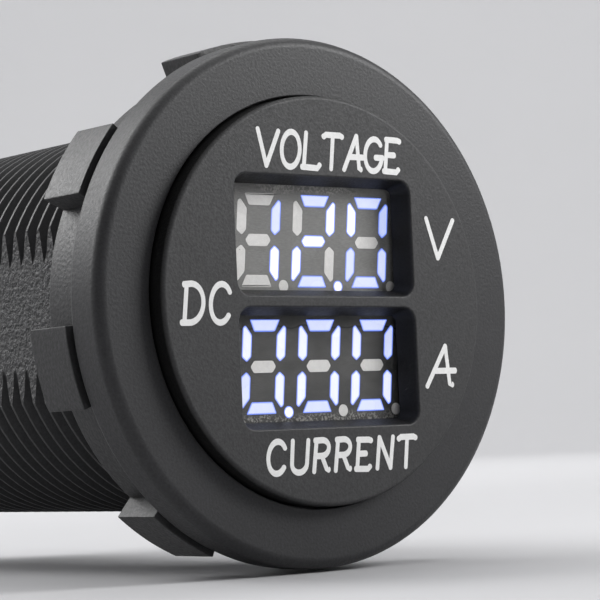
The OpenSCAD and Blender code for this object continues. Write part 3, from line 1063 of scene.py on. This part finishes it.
@dataclass
class Housing:
    """The threaded body with its flange."""

    crest_r: float
    round_r: float = 0.8
    bevel: float = 0.25
    thread_depth: float = 0.9
    pitch: float = 1.5
    collar: float = 1.2
    nose: float = 4.0
    flat_x: float = 13.1
    flat_from: float = 5.2
    edge: float = 0.12
    lip: float = 0.1
    runout: float = 0.2
    cap_play: float = 0.15
    board_play: float = 0.1
    bore_play: float = 0.2
    crest_play: float = 0.03
    crest_share: float = 0.1
    crest_soft: float = 0.08
    foot_share: float = 0.4
    foot_flare: float = 0.07
    sunk: float = 0.15

    def outline(self) -> list[Point]:
        """The cross-section of the flange and the plain body, from the rear bore round.

        Returns:
            Its corners, as radii and depths.
        """
        low, high = low_high("housing")
        flange_r, face_y, end_y = high.x, low.y, high.y
        board = low_high("display_board")[1]
        pocket_r = low_high("front_cap")[1].x + self.cap_play
        pocket_y = low_high("cap_gasket")[1].y
        front_r, seat_y = board.x + self.board_play, board.y
        bore_r = low_high("main_board")[1].x + self.bore_play
        root_r, lip = self.crest_r - self.thread_depth, self.lip
        return [
            (bore_r, end_y), (bore_r, seat_y), (front_r, seat_y), (front_r, pocket_y),
            (pocket_r, pocket_y),
            *arc(pocket_r + lip, face_y + lip, lip, 180, 270, 3),
            *arc(flange_r - self.round_r, face_y + self.round_r, self.round_r, -90, 0, 10),
            *arc(flange_r - self.bevel, -self.bevel, self.bevel, 0, 90, 3),
            *arc(self.crest_r + self.edge, self.edge, self.edge, 270, 180, 3),
            (self.crest_r, self.collar), (root_r, self.collar + self.runout),
            *arc(root_r - self.edge, end_y - self.edge, self.edge, 0, 90, 3),
        ]

    def thread(self) -> bpy.types.Object:
        """The helical ridge, with soft crests, that fades out at the nose.

        Returns:
            The ridge as a solid, its root sunk in the body.
        """
        end_y = low_high("housing")[1].y - self.nose
        inner = self.crest_r - self.thread_depth - self.sunk
        crest_r = self.crest_r - self.crest_play
        flat, soft = self.pitch * self.crest_share, self.crest_soft
        foot = self.pitch * self.foot_share + self.foot_flare
        start = self.collar - self.pitch / 2
        ridge = [
            (inner, start - foot),
            (crest_r - soft, start - flat - soft * 0.4), (crest_r, start - flat + soft * 0.5),
            (crest_r, start + flat - soft * 0.5), (crest_r - soft, start + flat + soft * 0.4),
            (inner, start + foot),
        ]
        turns = round((end_y - start) / self.pitch)
        blank = Blank().lathe(ridge, 96, turns=turns, lead=self.pitch)
        for vert in blank.mesh.verts:
            radius = math.hypot(vert.co.x, vert.co.z)
            fade = min(1.0, max(0.0, (end_y - vert.co.y) / self.pitch))
            wanted = inner + (radius - inner) * fade
            vert.co.x *= wanted / radius
            vert.co.z *= wanted / radius
        return blank.solid("thread")

    def build(self) -> None:
        """Makes the body, winds the thread on it and mills the side flats."""
        body = Blank().lathe(self.outline()).solid("housing_body")
        join(body, self.thread(), Join.UNION)
        end_y = low_high("housing")[1].y
        reach = self.crest_r * 2
        for side in (-1, 1):
            near, far = side * self.flat_x, side * reach
            low = Vector((min(near, far), self.flat_from, -reach))
            high = Vector((max(near, far), end_y + 1, reach))
            join(body, Blank().box(low, high).solid("flat"), Join.CUT)
        deliver(body, Tag("threaded_housing", HOUSING, slot="housing_plastic", replaces=("housing",)))


# ---- front cap


@dataclass
class Windows:
    """The two display windows: their size, their places and the rounding of their edges."""

    w: float = 15.8
    h: float = 8.25
    corner: float = 1.0
    drop: float = 0.1
    spacing: float = 9.05
    lip: float = 0.14
    lip_steps: int = 5
    draft: float = 0.48
    ahead: float = 1.0
    through: float = 4.0

    def middle(self, side: int) -> float:
        """The height of the upper window's centre, side 1, or the lower one's, side -1."""
        return side * self.spacing / 2 - self.drop

    def cutter(self, side: int, face_y: float, plate: float) -> bpy.types.Object:
        """A plug for one window, flared at its mouth where the cap's edge is rounded.

        Args:
            side: 1 for the upper window, -1 for the lower one.
            face_y: The depth of the cap's face.
            plate: The thickness of the cap's plate, through which the walls draw in.

        Returns:
            The plug.
        """
        blank, lip = Blank(), self.lip
        start = face_y - self.ahead
        face = blank.plate(0, self.middle(side), self.w + 2 * lip, self.h + 2 * lip, start)
        face = blank.deepen(blank.rounded(face, self.corner + lip, 8), self.ahead)
        angles = [math.pi / 2 * k / self.lip_steps for k in range(self.lip_steps + 1)]
        walls = [
            (lip * (math.sin(b) - math.sin(a)), lip * (math.cos(a) - math.cos(b)))
            for a, b in zip(angles, angles[1:])
        ]
        for inward, deeper in [*walls, (self.draft, plate - lip)]:
            blank.inset(face, inward)
            bmesh.ops.translate(blank.mesh, vec=(0, deeper, 0), verts=list(face.verts))
        blank.deepen(face, self.through)
        return blank.solid("window")


@dataclass
class WindowCap:
    """The round front cap with its two windows and its snap tabs."""

    windows: Windows
    edge: float = 0.3
    plate: float = 1.6
    rim: float = 1.2
    ink: float = 0.02
    tab_t: float = 0.9
    tab_half_h: float = 3.2
    tab_play: float = 0.05
    tab_root: float = 0.3
    hook: float = 0.5
    hook_l: float = 0.7
    hook_tip: float = 0.1

    def face_y(self) -> float:
        """The depth of the bare face, which the printed ink brings up to the CAD's."""
        return low_high("front_cap")[0].y + self.ink

    def build(self) -> None:
        """Turns the cap, cuts its windows and sets the tabs in it."""
        low, high = low_high("front_cap")
        r, front, rear = high.x, self.face_y(), low_high("cap_gasket")[0].y
        inner = r - self.rim
        plate_rear = low.y + self.plate
        outline = [
            (0, front), *arc(r - self.edge, front + self.edge, self.edge, -90, 0, 6),
            (r, rear), (inner, rear), (inner, plate_rear), (0, plate_rear),
        ]
        cap = Blank().lathe(outline, closed=False).whole().solid("cap_body")
        for side in (-1, 1):
            join(cap, self.windows.cutter(side, front, self.plate), Join.CUT)
        for side in (-1, 1):
            join(cap, self.tab(side, plate_rear - self.tab_root), Join.UNION)
        deliver(cap, Tag("window_cap", CAP, slot="cap_plastic", replaces=("front_cap",)))

    def tab(self, side: int, start: float) -> bpy.types.Object:
        """One snap tab, with its hook.

        Args:
            side: 1 for the right-hand tab, -1 for the left-hand one.
            start: The depth at which it is rooted in the cap's plate.

        Returns:
            The tab as a solid.
        """
        end = low_high("front_cap")[1].y
        tab_r = low_high("display_board")[1].x + self.tab_play
        inner, hook_r = tab_r - self.tab_t, tab_r + self.hook
        half = math.degrees(math.asin(self.tab_half_h / tab_r))
        section = [
            (inner, start), (tab_r, start), (tab_r, end - self.hook_l), (hook_r, end - self.hook_l),
            (hook_r, end - self.hook_l / 2), (tab_r + self.hook_tip, end), (inner, end),
        ]
        blank = Blank().sector(section, 2 * half, 12)
        return blank.turned(half if side > 0 else 180 + half).solid("tab")


# ---- legend


def bow(x: float, z: float, rx: float, rz: float, start: float, end: float) -> list[Point]:
    """A stroke along part of an ellipse.

    Args:
        x: The centre's place across.
        z: The centre's height.
        rx: The half width.
        rz: The half height.
        start: The first angle in degrees.
        end: The last angle in degrees.

    Returns:
        The stroke's points.
    """
    steps = max(8, round(abs(end - start) / 9))
    return [(x + rx * c, z + rz * h) for c, h in arc(0, 0, 1, start, end, steps)]


# Pen capitals in a cell one unit high: each letter's width, then its strokes.
LETTERS: dict[str, tuple[float, list[list[Point]]]] = {
    "A": (0.60, [[(0, 0), (0.4, 1)], [(0.4, 1), (0.54, 0.03), (0.6, 0.03)],
                 [(0.18, 0.38), (0.66, 0.38)]]),
    "C": (0.58, [bow(0.32, 0.5, 0.32, 0.5, 35, 322)]),
    "D": (0.58, [[(0.04, 0), (0.06, 1)], [(-0.02, 0.98), *bow(0.2, 0.5, 0.4, 0.5, 90, -90), (-0.04, 0)]]),
    "E": (0.52, [[(0.04, 0.95), (0.01, 0)], [(0.0, 0.95), (0.42, 0.94), (0.5, 0.91)],
                 [(0.04, 0.5), (0.32, 0.5)], [(-0.04, 0.02), (0.42, 0), (0.49, 0.08)]]),
    "G": (0.60, [bow(0.31, 0.47, 0.31, 0.47, 40, 345), [(0.64, 0.4), (0.38, 0.4)]]),
    "L": (0.56, [[(0.06, 1), (0.02, 0.02)], [(-0.04, 0.02), (0.5, 0.0), (0.57, 0.1)]]),
    "N": (0.56, [[(0, 0), (0.04, 1)], [(0.04, 1), (0.5, 0.02)], [(0.5, 0), (0.56, 1)]]),
    "O": (0.62, [bow(0.31, 0.5, 0.31, 0.5, 0, 360)]),
    "R": (0.54, [[(0, 0), (0.05, 1)], [(0, 0.98), *bow(0.26, 0.74, 0.25, 0.25, 90, -90), (0.04, 0.49)],
                 [(0.26, 0.49), (0.46, 0.06), (0.53, 0.04)]]),
    "T": (0.60, [[(-0.03, 0.92), (0.06, 0.98), (0.55, 0.98), (0.63, 0.94)], [(0.3, 1), (0.28, 0)]]),
    "U": (0.58, [[(0.02, 1), *bow(0.29, 0.29, 0.27, 0.29, 180, 360), (0.58, 1)]]),
    "V": (0.70, [[(0, 1.03), (0.34, 0)], [(0.34, 0), (0.7, 1.0)]]),
}


@dataclass(frozen=True)
class Word:
    """A word on the cap's face: its letters, centre, width, height and letter spacing."""

    text: str
    x: float
    z: float
    w: float
    h: float
    gap: float = 0.25


@dataclass
class Legend:
    """The unit words, printed on the cap's face in one width of stroke."""

    face_y: float
    ink: float = 0.02
    sunk: float = 0.01
    stroke: float = 0.33
    swell: float = 0.3
    slant: float = 0.1
    words: tuple[Word, ...] = (
        Word("VOLTAGE", 0.62, 10.33, 13.5, 2.75, 0.14),
        Word("CURRENT", 0.62, -10.68, 13.75, 2.48),
        Word("DC", -10.62, -0.27, 4.35, 2.9),
        Word("V", 10.51, 4.44, 3.2, 3.1),
        Word("A", 10.1, -4.70, 3.05, 3.2),
    )

    def stations(self, path: list[Vector]) -> list[tuple[Vector, float]]:
        """Places along a stroke, which narrows to a round end where it is open.

        Args:
            path: The stroke's centre line.

        Returns:
            Each place, with half the pen's width there.
        """
        half = self.stroke / 2
        places = [(p, half) for p in path]
        if path[0] == path[-1]:
            return places
        first, last = (path[1] - path[0]).normalized(), (path[-1] - path[-2]).normalized()
        angles = [math.radians(a) for a in (12, 35, 60)]
        head = [(path[0] - first * half * math.cos(a), half * math.sin(a)) for a in angles]
        tail = [(path[-1] + last * half * math.cos(a), half * math.sin(a)) for a in angles]
        return [*head, *places, *reversed(tail)]

    def stroke_solid(self, points: list[Point]) -> bpy.types.Object:
        """One pen stroke with round ends, as a thin solid.

        Args:
            points: The stroke's centre line in millimetres, in X and Z.

        Returns:
            The stroke.
        """
        path = [Vector(p) for p in points]
        closed = (path[0] - path[-1]).length < 1e-6
        if closed:
            path[-1] = path[0]
        stations = self.stations(path)
        centres = [point for point, _ in stations]
        befores = [centres[-2] if closed else centres[0], *centres[:-1]]
        afters = [*centres[1:], centres[1] if closed else centres[-1]]
        depth = self.face_y - self.ink
        blank = Blank()
        verts: list[bmesh.types.BMVert] = []
        edge = None
        for (point, width), before, after in zip(stations, befores, afters):
            along = (after - before).normalized()
            across = Vector((-along.y, along.x)) * width * (1 + self.swell * along.x ** 2)
            corners = [(p.x, depth, p.y) for p in (point + across, point - across)]
            if edge is None:
                verts = [blank.mesh.verts.new(corner) for corner in corners]
                edge = blank.mesh.edges.new(verts)
                continue
            made = bmesh.ops.extrude_edge_only(blank.mesh, edges=[edge])
            edge = next(item for item in made["geom"] if isinstance(item, bmesh.types.BMEdge))
            fresh = verts_in(made)
            if verts[0] not in [e.other_vert(fresh[0]) for e in fresh[0].link_edges]:
                fresh.reverse()
            for vert, corner in zip(fresh, corners):
                vert.co = corner
            verts = fresh
        blank.merge()
        made = bmesh.ops.extrude_face_region(blank.mesh, geom=blank.mesh.faces[:])
        bmesh.ops.translate(blank.mesh, vec=(0, self.ink + self.sunk, 0), verts=verts_in(made))
        return blank.solid("stroke")

    def build(self) -> None:
        """Draws each word and merges its strokes."""
        for word in self.words:
            first, *rest = [self.stroke_solid(points) for points in self.strokes(word)]
            for other in rest:
                join(first, other, Join.UNION)
            deliver(first, Tag(f"legend_{word.text.lower()}", INK))

    def strokes(self, word: Word) -> list[list[Point]]:
        """The strokes of a word at their places on the face.

        Args:
            word: The word.

        Returns:
            Each stroke's centre line in millimetres, in X and Z.
        """
        letters = [LETTERS[letter] for letter in word.text]
        tall = word.h - self.stroke
        wide = word.w - self.stroke - self.slant * tall
        unit = wide / (sum(width for width, _ in letters) + word.gap * (len(letters) - 1))
        left = word.x - wide / 2 - self.slant * tall / 2
        placed = []
        for width, strokes in letters:
            placed += [
                [(left + x * unit + self.slant * z * tall, word.z + (z - 0.5) * tall) for x, z in points]
                for points in strokes
            ]
            left += (width + word.gap) * unit
        return placed


# ---- ring nut


@dataclass
class RingNut:
    """The lugged ring nut."""

    bore_r: float
    ring_r: float = 17.1
    pocket_wall: float = 0.5
    pocket_d: float = 1.5
    lugs: int = 8
    lug_deg: float = 17.5
    first_lug: float = 13.2
    lug_root: float = 0.4
    lug_edge: float = 0.1
    edge: float = 0.15
    chamfer: float = 0.3

    def build(self) -> None:
        """Turns the ring and sets the lugs round it."""
        low, high = low_high("panel_nut")
        front, rear, e = low.y, high.y, self.edge
        pocket_r, pocket_y = self.ring_r - self.pocket_wall, front + self.pocket_d
        outline = [
            (pocket_r, front), *arc(self.ring_r - e, front + e, e, -90, 0, 3),
            *arc(self.ring_r - e, rear - e, e, 0, 90, 3), (self.bore_r + self.chamfer, rear),
            (self.bore_r, rear - self.chamfer), (self.bore_r, pocket_y), (pocket_r, pocket_y),
        ]
        nut = Blank().lathe(outline).solid("nut_ring_body")
        root_r, lug_r = self.ring_r - self.lug_root, self.lug_radius()
        section = [(root_r, front), (lug_r, front), (lug_r, rear), (root_r, rear)]
        for i in range(self.lugs):
            end = self.first_lug + i * 360 / self.lugs + self.lug_deg / 2
            lug = Blank().sector(section, self.lug_deg, 10).bevel(self.lug_edge, 2)
            join(nut, lug.turned(end).solid("lug"), Join.UNION)
        deliver(nut, Tag("lugged_nut", NUT, body="nut", slot="nut_plastic", replaces=("panel_nut",)))

    def lug_radius(self) -> float:
        """The radius over the lugs, from the node's own vertices."""
        return max(math.hypot(v.co.x, v.co.z) for v in frame["nodes"]["panel_nut"].data.vertices) / MM


# ---- displays


class Glow(Enum):
    """How a segment shines: its strength and how far its colour leans to blue."""

    WHITE = (1.15, 0.0)
    SOFT = (1.02, 0.28)
    PALE = (0.98, 0.55)
    COOL = (0.98, 0.75)
    DARK = (0.0, 0.0)


@dataclass
class Digit:
    """The outline of one seven-segment digit, centred on it."""

    pitch: float = 4.92
    h: float = 6.5
    w: float = 3.84
    bar: float = 0.86
    slant: float = 5.5
    point_r: float = 0.43
    point_x: float = 0.46
    point_z: float = 0.1

    def outlines(self) -> list[list[Point]]:
        """The seven segments in the usual order, a to g, slanted.

        Returns:
            Each segment's outline.
        """
        half_w, half_h, bar = self.w / 2, self.h / 2, self.bar
        inner, gap, cut, tip = half_w - bar, bar * 0.16, bar * 0.68, bar * 0.28
        level = [(-half_w + cut, half_h), (half_w - cut, half_h),
                 (inner - gap, half_h - bar), (-inner + gap, half_h - bar)]
        upright = [(inner, bar * 0.78), (inner + bar * 0.45, bar * 0.36), (half_w, bar * 0.78),
                   (half_w, half_h - bar * 0.66), (half_w - bar * 0.3, half_h - bar * 0.45),
                   (inner, half_h - bar * 1.24)]
        middle = [(-inner - gap / 2, 0), (-inner + tip, bar / 2), (inner - tip, bar / 2),
                  (inner + gap / 2, 0), (inner - tip, -bar / 2), (-inner + tip, -bar / 2)]
        lean = math.tan(math.radians(self.slant))
        return [
            [(across * x + up * z * lean, up * z) for x, z in shape]
            for shape, across, up in (
                (level, 1, 1), (upright, 1, 1), (upright, 1, -1), (level, 1, -1),
                (upright, -1, -1), (upright, -1, 1), (middle, 1, 1),
            )
        ]

    def point(self) -> Point:
        """The centre of the decimal point."""
        z = -self.h / 2 + self.point_z
        return (self.w / 2 + self.point_x + z * math.tan(math.radians(self.slant)), z)


# Short names for the table of what the displays show.
W, S, P, C, D = Glow


@dataclass
class Display:
    """One display module: its case, its lit and unlit segments and the film over it."""

    side: int
    face: DisplayFace
    film: ClearFilm
    glow: tuple[tuple[Glow, ...], ...]
    digit: Digit = field(default_factory=Digit)
    shift: float = 0.43
    toward: float = 0.17
    gap: float = 0.015
    ahead: float = 0.05
    sunk: float = 0.004
    depth: float = 1.4
    fringe: float = 0.11
    soft: float = 0.12
    case_edge: float = 0.12
    film_t: float = 0.04

    def name(self) -> str:
        """Which of the two displays this is."""
        return "upper" if self.side > 0 else "lower"

    def slabs(self, wanted: tuple[bool, ...], margin: float, front: float) -> Blank:
        """Segments as solid slabs, with the attributes that light them.

        Args:
            wanted: Whether lit ones, unlit ones or both are made.
            margin: How much smaller than its cavity each one is all round.
            front: The depth of their faces.

        Returns:
            The slabs.
        """
        low, high = low_high(f"{self.name()}_display_case")
        centre_x = (low.x + high.x) / 2 + self.shift
        centre_z = (low.z + high.z) / 2 - self.side * self.toward
        blank = Blank()
        rim, glow, hue = (blank.mesh.verts.layers.float.new(key) for key in ("rim", "glow", "hue"))
        for k, states in enumerate(self.glow):
            x = centre_x + (k - 1) * self.digit.pitch
            for shape, state in zip([*self.digit.outlines(), None], states):
                if (state is not Glow.DARK) not in wanted:
                    continue
                face = self.blank_face(blank, shape, x, centre_z, front)
                if margin:
                    blank.inset(face, margin)
                    outer = {f for v in face.verts for f in v.link_faces} - {face}
                    bmesh.ops.delete(blank.mesh, geom=list(outer), context="FACES")
                outline = list(face.verts)
                blank.inset(face, self.fringe)
                core = list(face.verts)
                whole = {f for v in outline for f in v.link_faces} | {face}
                back = verts_in(bmesh.ops.extrude_face_region(blank.mesh, geom=list(whole)))
                bmesh.ops.translate(blank.mesh, vec=(0, self.depth, 0), verts=back)
                for vert in outline + core + back:
                    vert[rim] = 1.0
                    vert[glow], vert[hue] = state.value
                for vert in core:
                    vert[rim] = 0.0
        return blank

    def blank_face(
        self, blank: Blank, shape: list[Point] | None, x: float, z: float, y: float
    ) -> bmesh.types.BMFace:
        """The face of one segment with soft corners, or of the decimal point.

        Args:
            blank: The mesh it is made in.
            shape: The segment's outline, or None for the decimal point.
            x: The digit's centre across.
            z: The digit's centre height.
            y: The depth of the face.

        Returns:
            The face.
        """
        if shape is None:
            px, pz = self.digit.point()
            place = Matrix.Translation((x + px, y, z + pz)) @ Matrix.Rotation(math.pi / 2, 4, "X")
            made = bmesh.ops.create_circle(
                blank.mesh, cap_ends=True, radius=self.digit.point_r, segments=32, matrix=place
            )
            return made["verts"][0].link_faces[0]
        verts = [blank.mesh.verts.new((x + px, y, z + pz)) for px, pz in shape]
        return blank.rounded(blank.mesh.faces.new(verts), self.soft, 4)

    def build(self) -> None:
        """Makes the case with its cavities, the segments and the film."""
        name = self.name()
        node = f"{name}_display_case"
        low, high = low_high(node)
        case = Blank().box(low, high).bevel(self.case_edge, 3).solid("case")
        join(case, self.slabs((True, False), 0, low.y - self.ahead).solid("cavities"), Join.CUT)
        deliver(case, Tag(f"{name}_display", self.face, slot="display_case", replaces=(node,)))
        for lit, word, finish in ((True, "lit", LIT), (False, "dark", UNLIT)):
            node = f"{name}_{word}_segments"
            bars = self.slabs((lit,), self.gap, low.y + self.sunk).solid(word)
            tag = Tag(f"{name}_{word}_bars", finish, slot=f"{word}_segment", replaces=(node,), smooth=25)
            deliver(bars, tag)
        self.sheet(name)

    def sheet(self, name: str) -> None:
        """Makes the clear film: a thin sheet that ripples a little, marked along its rim for the painted
        glow.

        Args:
            name: Which of the two displays it is on.
        """
        node = f"{name}_display_film"
        low, high = low_high(node)
        blank = Blank()
        place = Matrix.Translation((low + high) / 2) @ Matrix.Rotation(math.pi / 2, 4, "X")
        place = place @ Matrix.Diagonal((high.x - low.x, high.z - low.z, 1, 1))
        bmesh.ops.create_grid(blank.mesh, x_segments=48, y_segments=24, size=0.5, matrix=place)
        rim = blank.mesh.verts.layers.float.new("rim")
        for vert in blank.mesh.verts:
            x, z = vert.co.x, vert.co.z
            vert.co.y += 0.012 * math.sin(x * 1.3 + 0.6 * z) + 0.01 * math.sin(z * 2.1 - x * 0.4)
            vert[rim] = 1.0 if vert.is_boundary else 0.0
        bmesh.ops.solidify(blank.mesh, geom=blank.mesh.faces[:], thickness=self.film_t)
        tag = Tag(f"{name}_film", self.film, slot="clear_film", replaces=(node,), smooth=60)
        deliver(blank.solid("film"), tag)


# ---- rear end and inner parts


@dataclass
class RearEnd:
    """The rear cap and the three blade terminals, their edges eased."""

    cap_edge: float = 0.15
    coined: float = 0.09

    def build(self) -> None:
        """Eases the edges of the rear cap and of each blade."""
        cap = from_node("rear_cap").bevel(self.cap_edge, 2).solid("cap")
        deliver(cap, Tag("rear_plate", REAR, slot="cap_plastic", replaces=("rear_cap",)))
        for name in ("positive", "negative", "load"):
            blade = from_node(f"{name}_terminal").bevel(self.coined, 2).solid("blade")
            deliver(blade, Tag(f"{name}_blade", TIN, slot="tinned_metal", replaces=(f"{name}_terminal",)))


@dataclass
class InnerParts:
    """The finishes of the pieces whose shapes stay as they are in the frame."""

    finishes: dict[str, Finish] = field(default_factory=lambda: {
        "cap_gasket": RUBBER, "nut_ring": RUBBER, "display_board": BOARD, "main_board": BOARD,
        "power_board": BOARD, "display_pins": TIN, "header_pins": GOLD, "header_strips": CHIP,
        "segment_resistors": CERAMIC, "ceramic_capacitors": CERAMIC, "supply_capacitor": CAN,
        "capacitor_sleeve": SLEEVE, "link_wires": COPPER, "wire_jackets": JACKET,
        "current_shunt": SHUNT, "solder_joints": SOLDER,
    })
    packages: dict[str, float] = field(default_factory=lambda: {
        "segment_driver": 1.5, "controller_chip": 2.2, "voltage_regulator": 1.25,
        "protection_diode": 100.0,
    })
    legs_above: tuple[str, ...] = ("voltage_regulator",)

    def build(self) -> None:
        """Dresses each node; a package's number is half the height of its moulded body."""
        for name, half in self.packages.items():
            low, high = low_high(name)
            middle = low.z + half if name in self.legs_above else (low.z + high.z) / 2
            self.dress(name, ChipPackage(f"{name}_package", (0.02, 0.02, 0.021), 0.5, middle, half))
        for name, finish in self.finishes.items():
            self.dress(name, finish)

    def dress(self, name: str, finish: Finish) -> None:
        """Gives a node its finish.

        Args:
            name: The node.
            finish: Its finish.
        """
        node = frame["nodes"][name]
        node.data.materials.clear()
        node.data.materials.append(finish.material())
        LOG.info("%s: %s", name, finish.name)


# ---- studio


@dataclass(frozen=True)
class Lamp:
    """A soft square light: its name, place, side, power and the point that it faces."""

    name: str
    place: Triple
    side: float
    power: float
    at: Triple = (0, 0, 0)

    def build(self) -> None:
        """Hangs the light."""
        data = bpy.data.lights.new(self.name, "AREA")
        data.shape = "SQUARE"
        data.size = self.side * MM
        data.energy = self.power
        made = bpy.data.objects.new(self.name, data)
        place = Vector(self.place) * MM
        turn = (place - Vector(self.at) * MM).to_track_quat("Z", "Y").to_matrix().to_4x4()
        made.matrix_world = Matrix.Translation(place) @ turn
        bpy.context.scene.collection.objects.link(made)


@dataclass
class Studio:
    """The camera, the paper sweep and the soft lights; distances in millimetres."""

    azimuth: float = -39.4
    elevation: float = -3.43
    roll: float = -2.455
    distance: float = 163.76
    aside: float = 0.764
    above: float = 0.32
    lens: float = 139.4
    paper_r: float = 1100.0
    paper_curve: float = 350.0
    paper_h: float = 1300.0
    floor_gap: float = 0.02
    lamps: tuple[Lamp, ...] = (
        Lamp("key", (-250, 425, 345), 380, 3.05), Lamp("fill", (115, -105, 90), 80, 0.27),
    )
    washes: tuple[Point, ...] = ((0, 9.0), (90, 3.0), (180, 2.0), (270, 3.0))
    sky: tuple[float, ...] = (0.75, 0.76, 0.78, 1)
    sky_strength: float = 0.09

    def axes(self) -> tuple[Vector, Vector, Vector]:
        """The camera's directions.

        Returns:
            Its right, its up and its back.
        """
        a, e, r = (math.radians(v) for v in (self.azimuth, self.elevation, self.roll))
        back = Vector((math.sin(a) * math.cos(e), -math.cos(a) * math.cos(e), math.sin(e)))
        level = Vector((math.cos(a), math.sin(a), 0))
        upright = back.cross(level)
        right = level * math.cos(r) + upright * math.sin(r)
        return right, back.cross(right), back

    def camera(self) -> None:
        """Sets the camera at the meter's left, a little below its axis."""
        right, up, back = self.axes()
        place = (back * self.distance + right * self.aside + up * self.above) * MM
        data = bpy.data.cameras.new("camera")
        data.sensor_width = 36
        data.lens = self.lens
        data.clip_start = 0.01
        made = bpy.data.objects.new("camera", data)
        made.matrix_world = Matrix.Translation(place) @ Matrix((right, up, back)).transposed().to_4x4()
        bpy.context.scene.collection.objects.link(made)
        bpy.context.scene.camera = made

    def sweep(self, floor_z: float) -> None:
        """A pale sheet of paper all round: a floor that curves up into a wall.

        Args:
            floor_z: The floor's height in millimetres.
        """
        flat = self.paper_r - self.paper_curve
        bend = arc(flat, self.paper_curve, self.paper_curve, -90, 0, 24)
        blank = Blank()
        verts = [
            blank.mesh.verts.new((r, 0, z + floor_z))
            for r, z in [(0.0, 0.0), *bend, (self.paper_r, self.paper_h)]
        ]
        edges = [blank.mesh.edges.new(pair) for pair in zip(verts, verts[1:])]
        blank.spin([*verts, *edges], 128, axis=(0, 0, 1))
        paper = blank.solid("paper_sweep")
        paper.data.transform(Matrix.Scale(MM, 4))
        paper.data.flip_normals()
        paper.data.shade_smooth()
        paper.data.materials.append(PAPER.material())
        paper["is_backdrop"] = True

    def wash(self, degrees: float, power: float) -> Lamp:
        """A light on the wall at one side of the view.

        Args:
            degrees: Where that side is; 0 is behind the meter.
            power: The light's power in watts.

        Returns:
            The light.
        """
        out = Matrix.Rotation(math.radians(self.azimuth + degrees), 3, "Z") @ Vector((0, 1, 0))
        place, at = out * 350 + Vector((0, 0, 700)), out * self.paper_r + Vector((0, 0, 100))
        return Lamp(f"wash_{round(degrees)}", tuple(place), 500, power, tuple(at))

    def build(self) -> None:
        """Sets up everything round the meter."""
        scene = bpy.context.scene
        scene.view_settings.view_transform = "Standard"
        self.camera()
        self.sweep(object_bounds()[0].z / MM - self.floor_gap)
        for lamp in (*self.lamps, *(self.wash(*side) for side in self.washes)):
            lamp.build()
        world = bpy.data.worlds.new("surround")
        world.use_nodes = True
        background = world.node_tree.nodes["Background"]
        background.inputs["Color"].default_value = self.sky
        background.inputs["Strength"].default_value = self.sky_strength
        scene.world = world


# ---- the meter


def displays() -> list[Display]:
    """The two displays, showing 12.0 above and 0.00 below.

    Returns:
        The upper one, then the lower one.
    """
    made = []
    # The last number in each row is the strength of the film's painted rim glow.
    for side, look, glow, painted_rim_glow in (
        # The upper face's grey is set lighter than the lower's: painted light and shade for how the light
        # falls into the two windows; the lower face's smudges are its own.
        (1, {"colour": (0.20, 0.199, 0.192), "smudge": 0.14, "glue_high": 0.6},
         ((D, P, W, D, D, D, D, D), (P, W, D, P, W, D, W, W), (P, C, P, P, P, W, D, D)), 0.05),
        (-1, {"colour": (0.062, 0.061, 0.059), "smudge": 0.45, "glue_low": 0.55, "crease": 1.0},
         ((P, S, S, P, P, S, D, W), (P, S, S, P, S, S, D, D), (P, P, S, P, S, S, D, D)), 0.5),
    ):
        name = "upper" if side > 0 else "lower"
        low, high = low_high(f"{name}_display_film")
        face = DisplayFace(name=f"{name}_display_face", roughness=0.55, top=high.z, bottom=low.z, **look)
        sheet = ClearFilm(f"{name}_clear_film", (0.02, 0.02, 0.02), 0.15, painted_rim_glow)
        made.append(Display(side, face, sheet, glow))
    return made


def main() -> None:
    """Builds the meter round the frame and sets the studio."""
    logging.basicConfig(level=logging.INFO, format="%(name)s: %(message)s")
    crest_r = next(
        mount["dims"]["r_mm"] for mount in frame["record"]["mounts"] if mount["kind"] == "pin"
    )
    cap = WindowCap(Windows())
    parts = [
        Housing(crest_r), cap, Legend(cap.face_y(), cap.ink), RingNut(crest_r + NUT_PLAY),
        *displays(), RearEnd(), InnerParts(), Studio(),
    ]
    for part in parts:
        LOG.info("building %s", type(part).__name__)
        part.build()


if __name__ == "__main__":
    main()
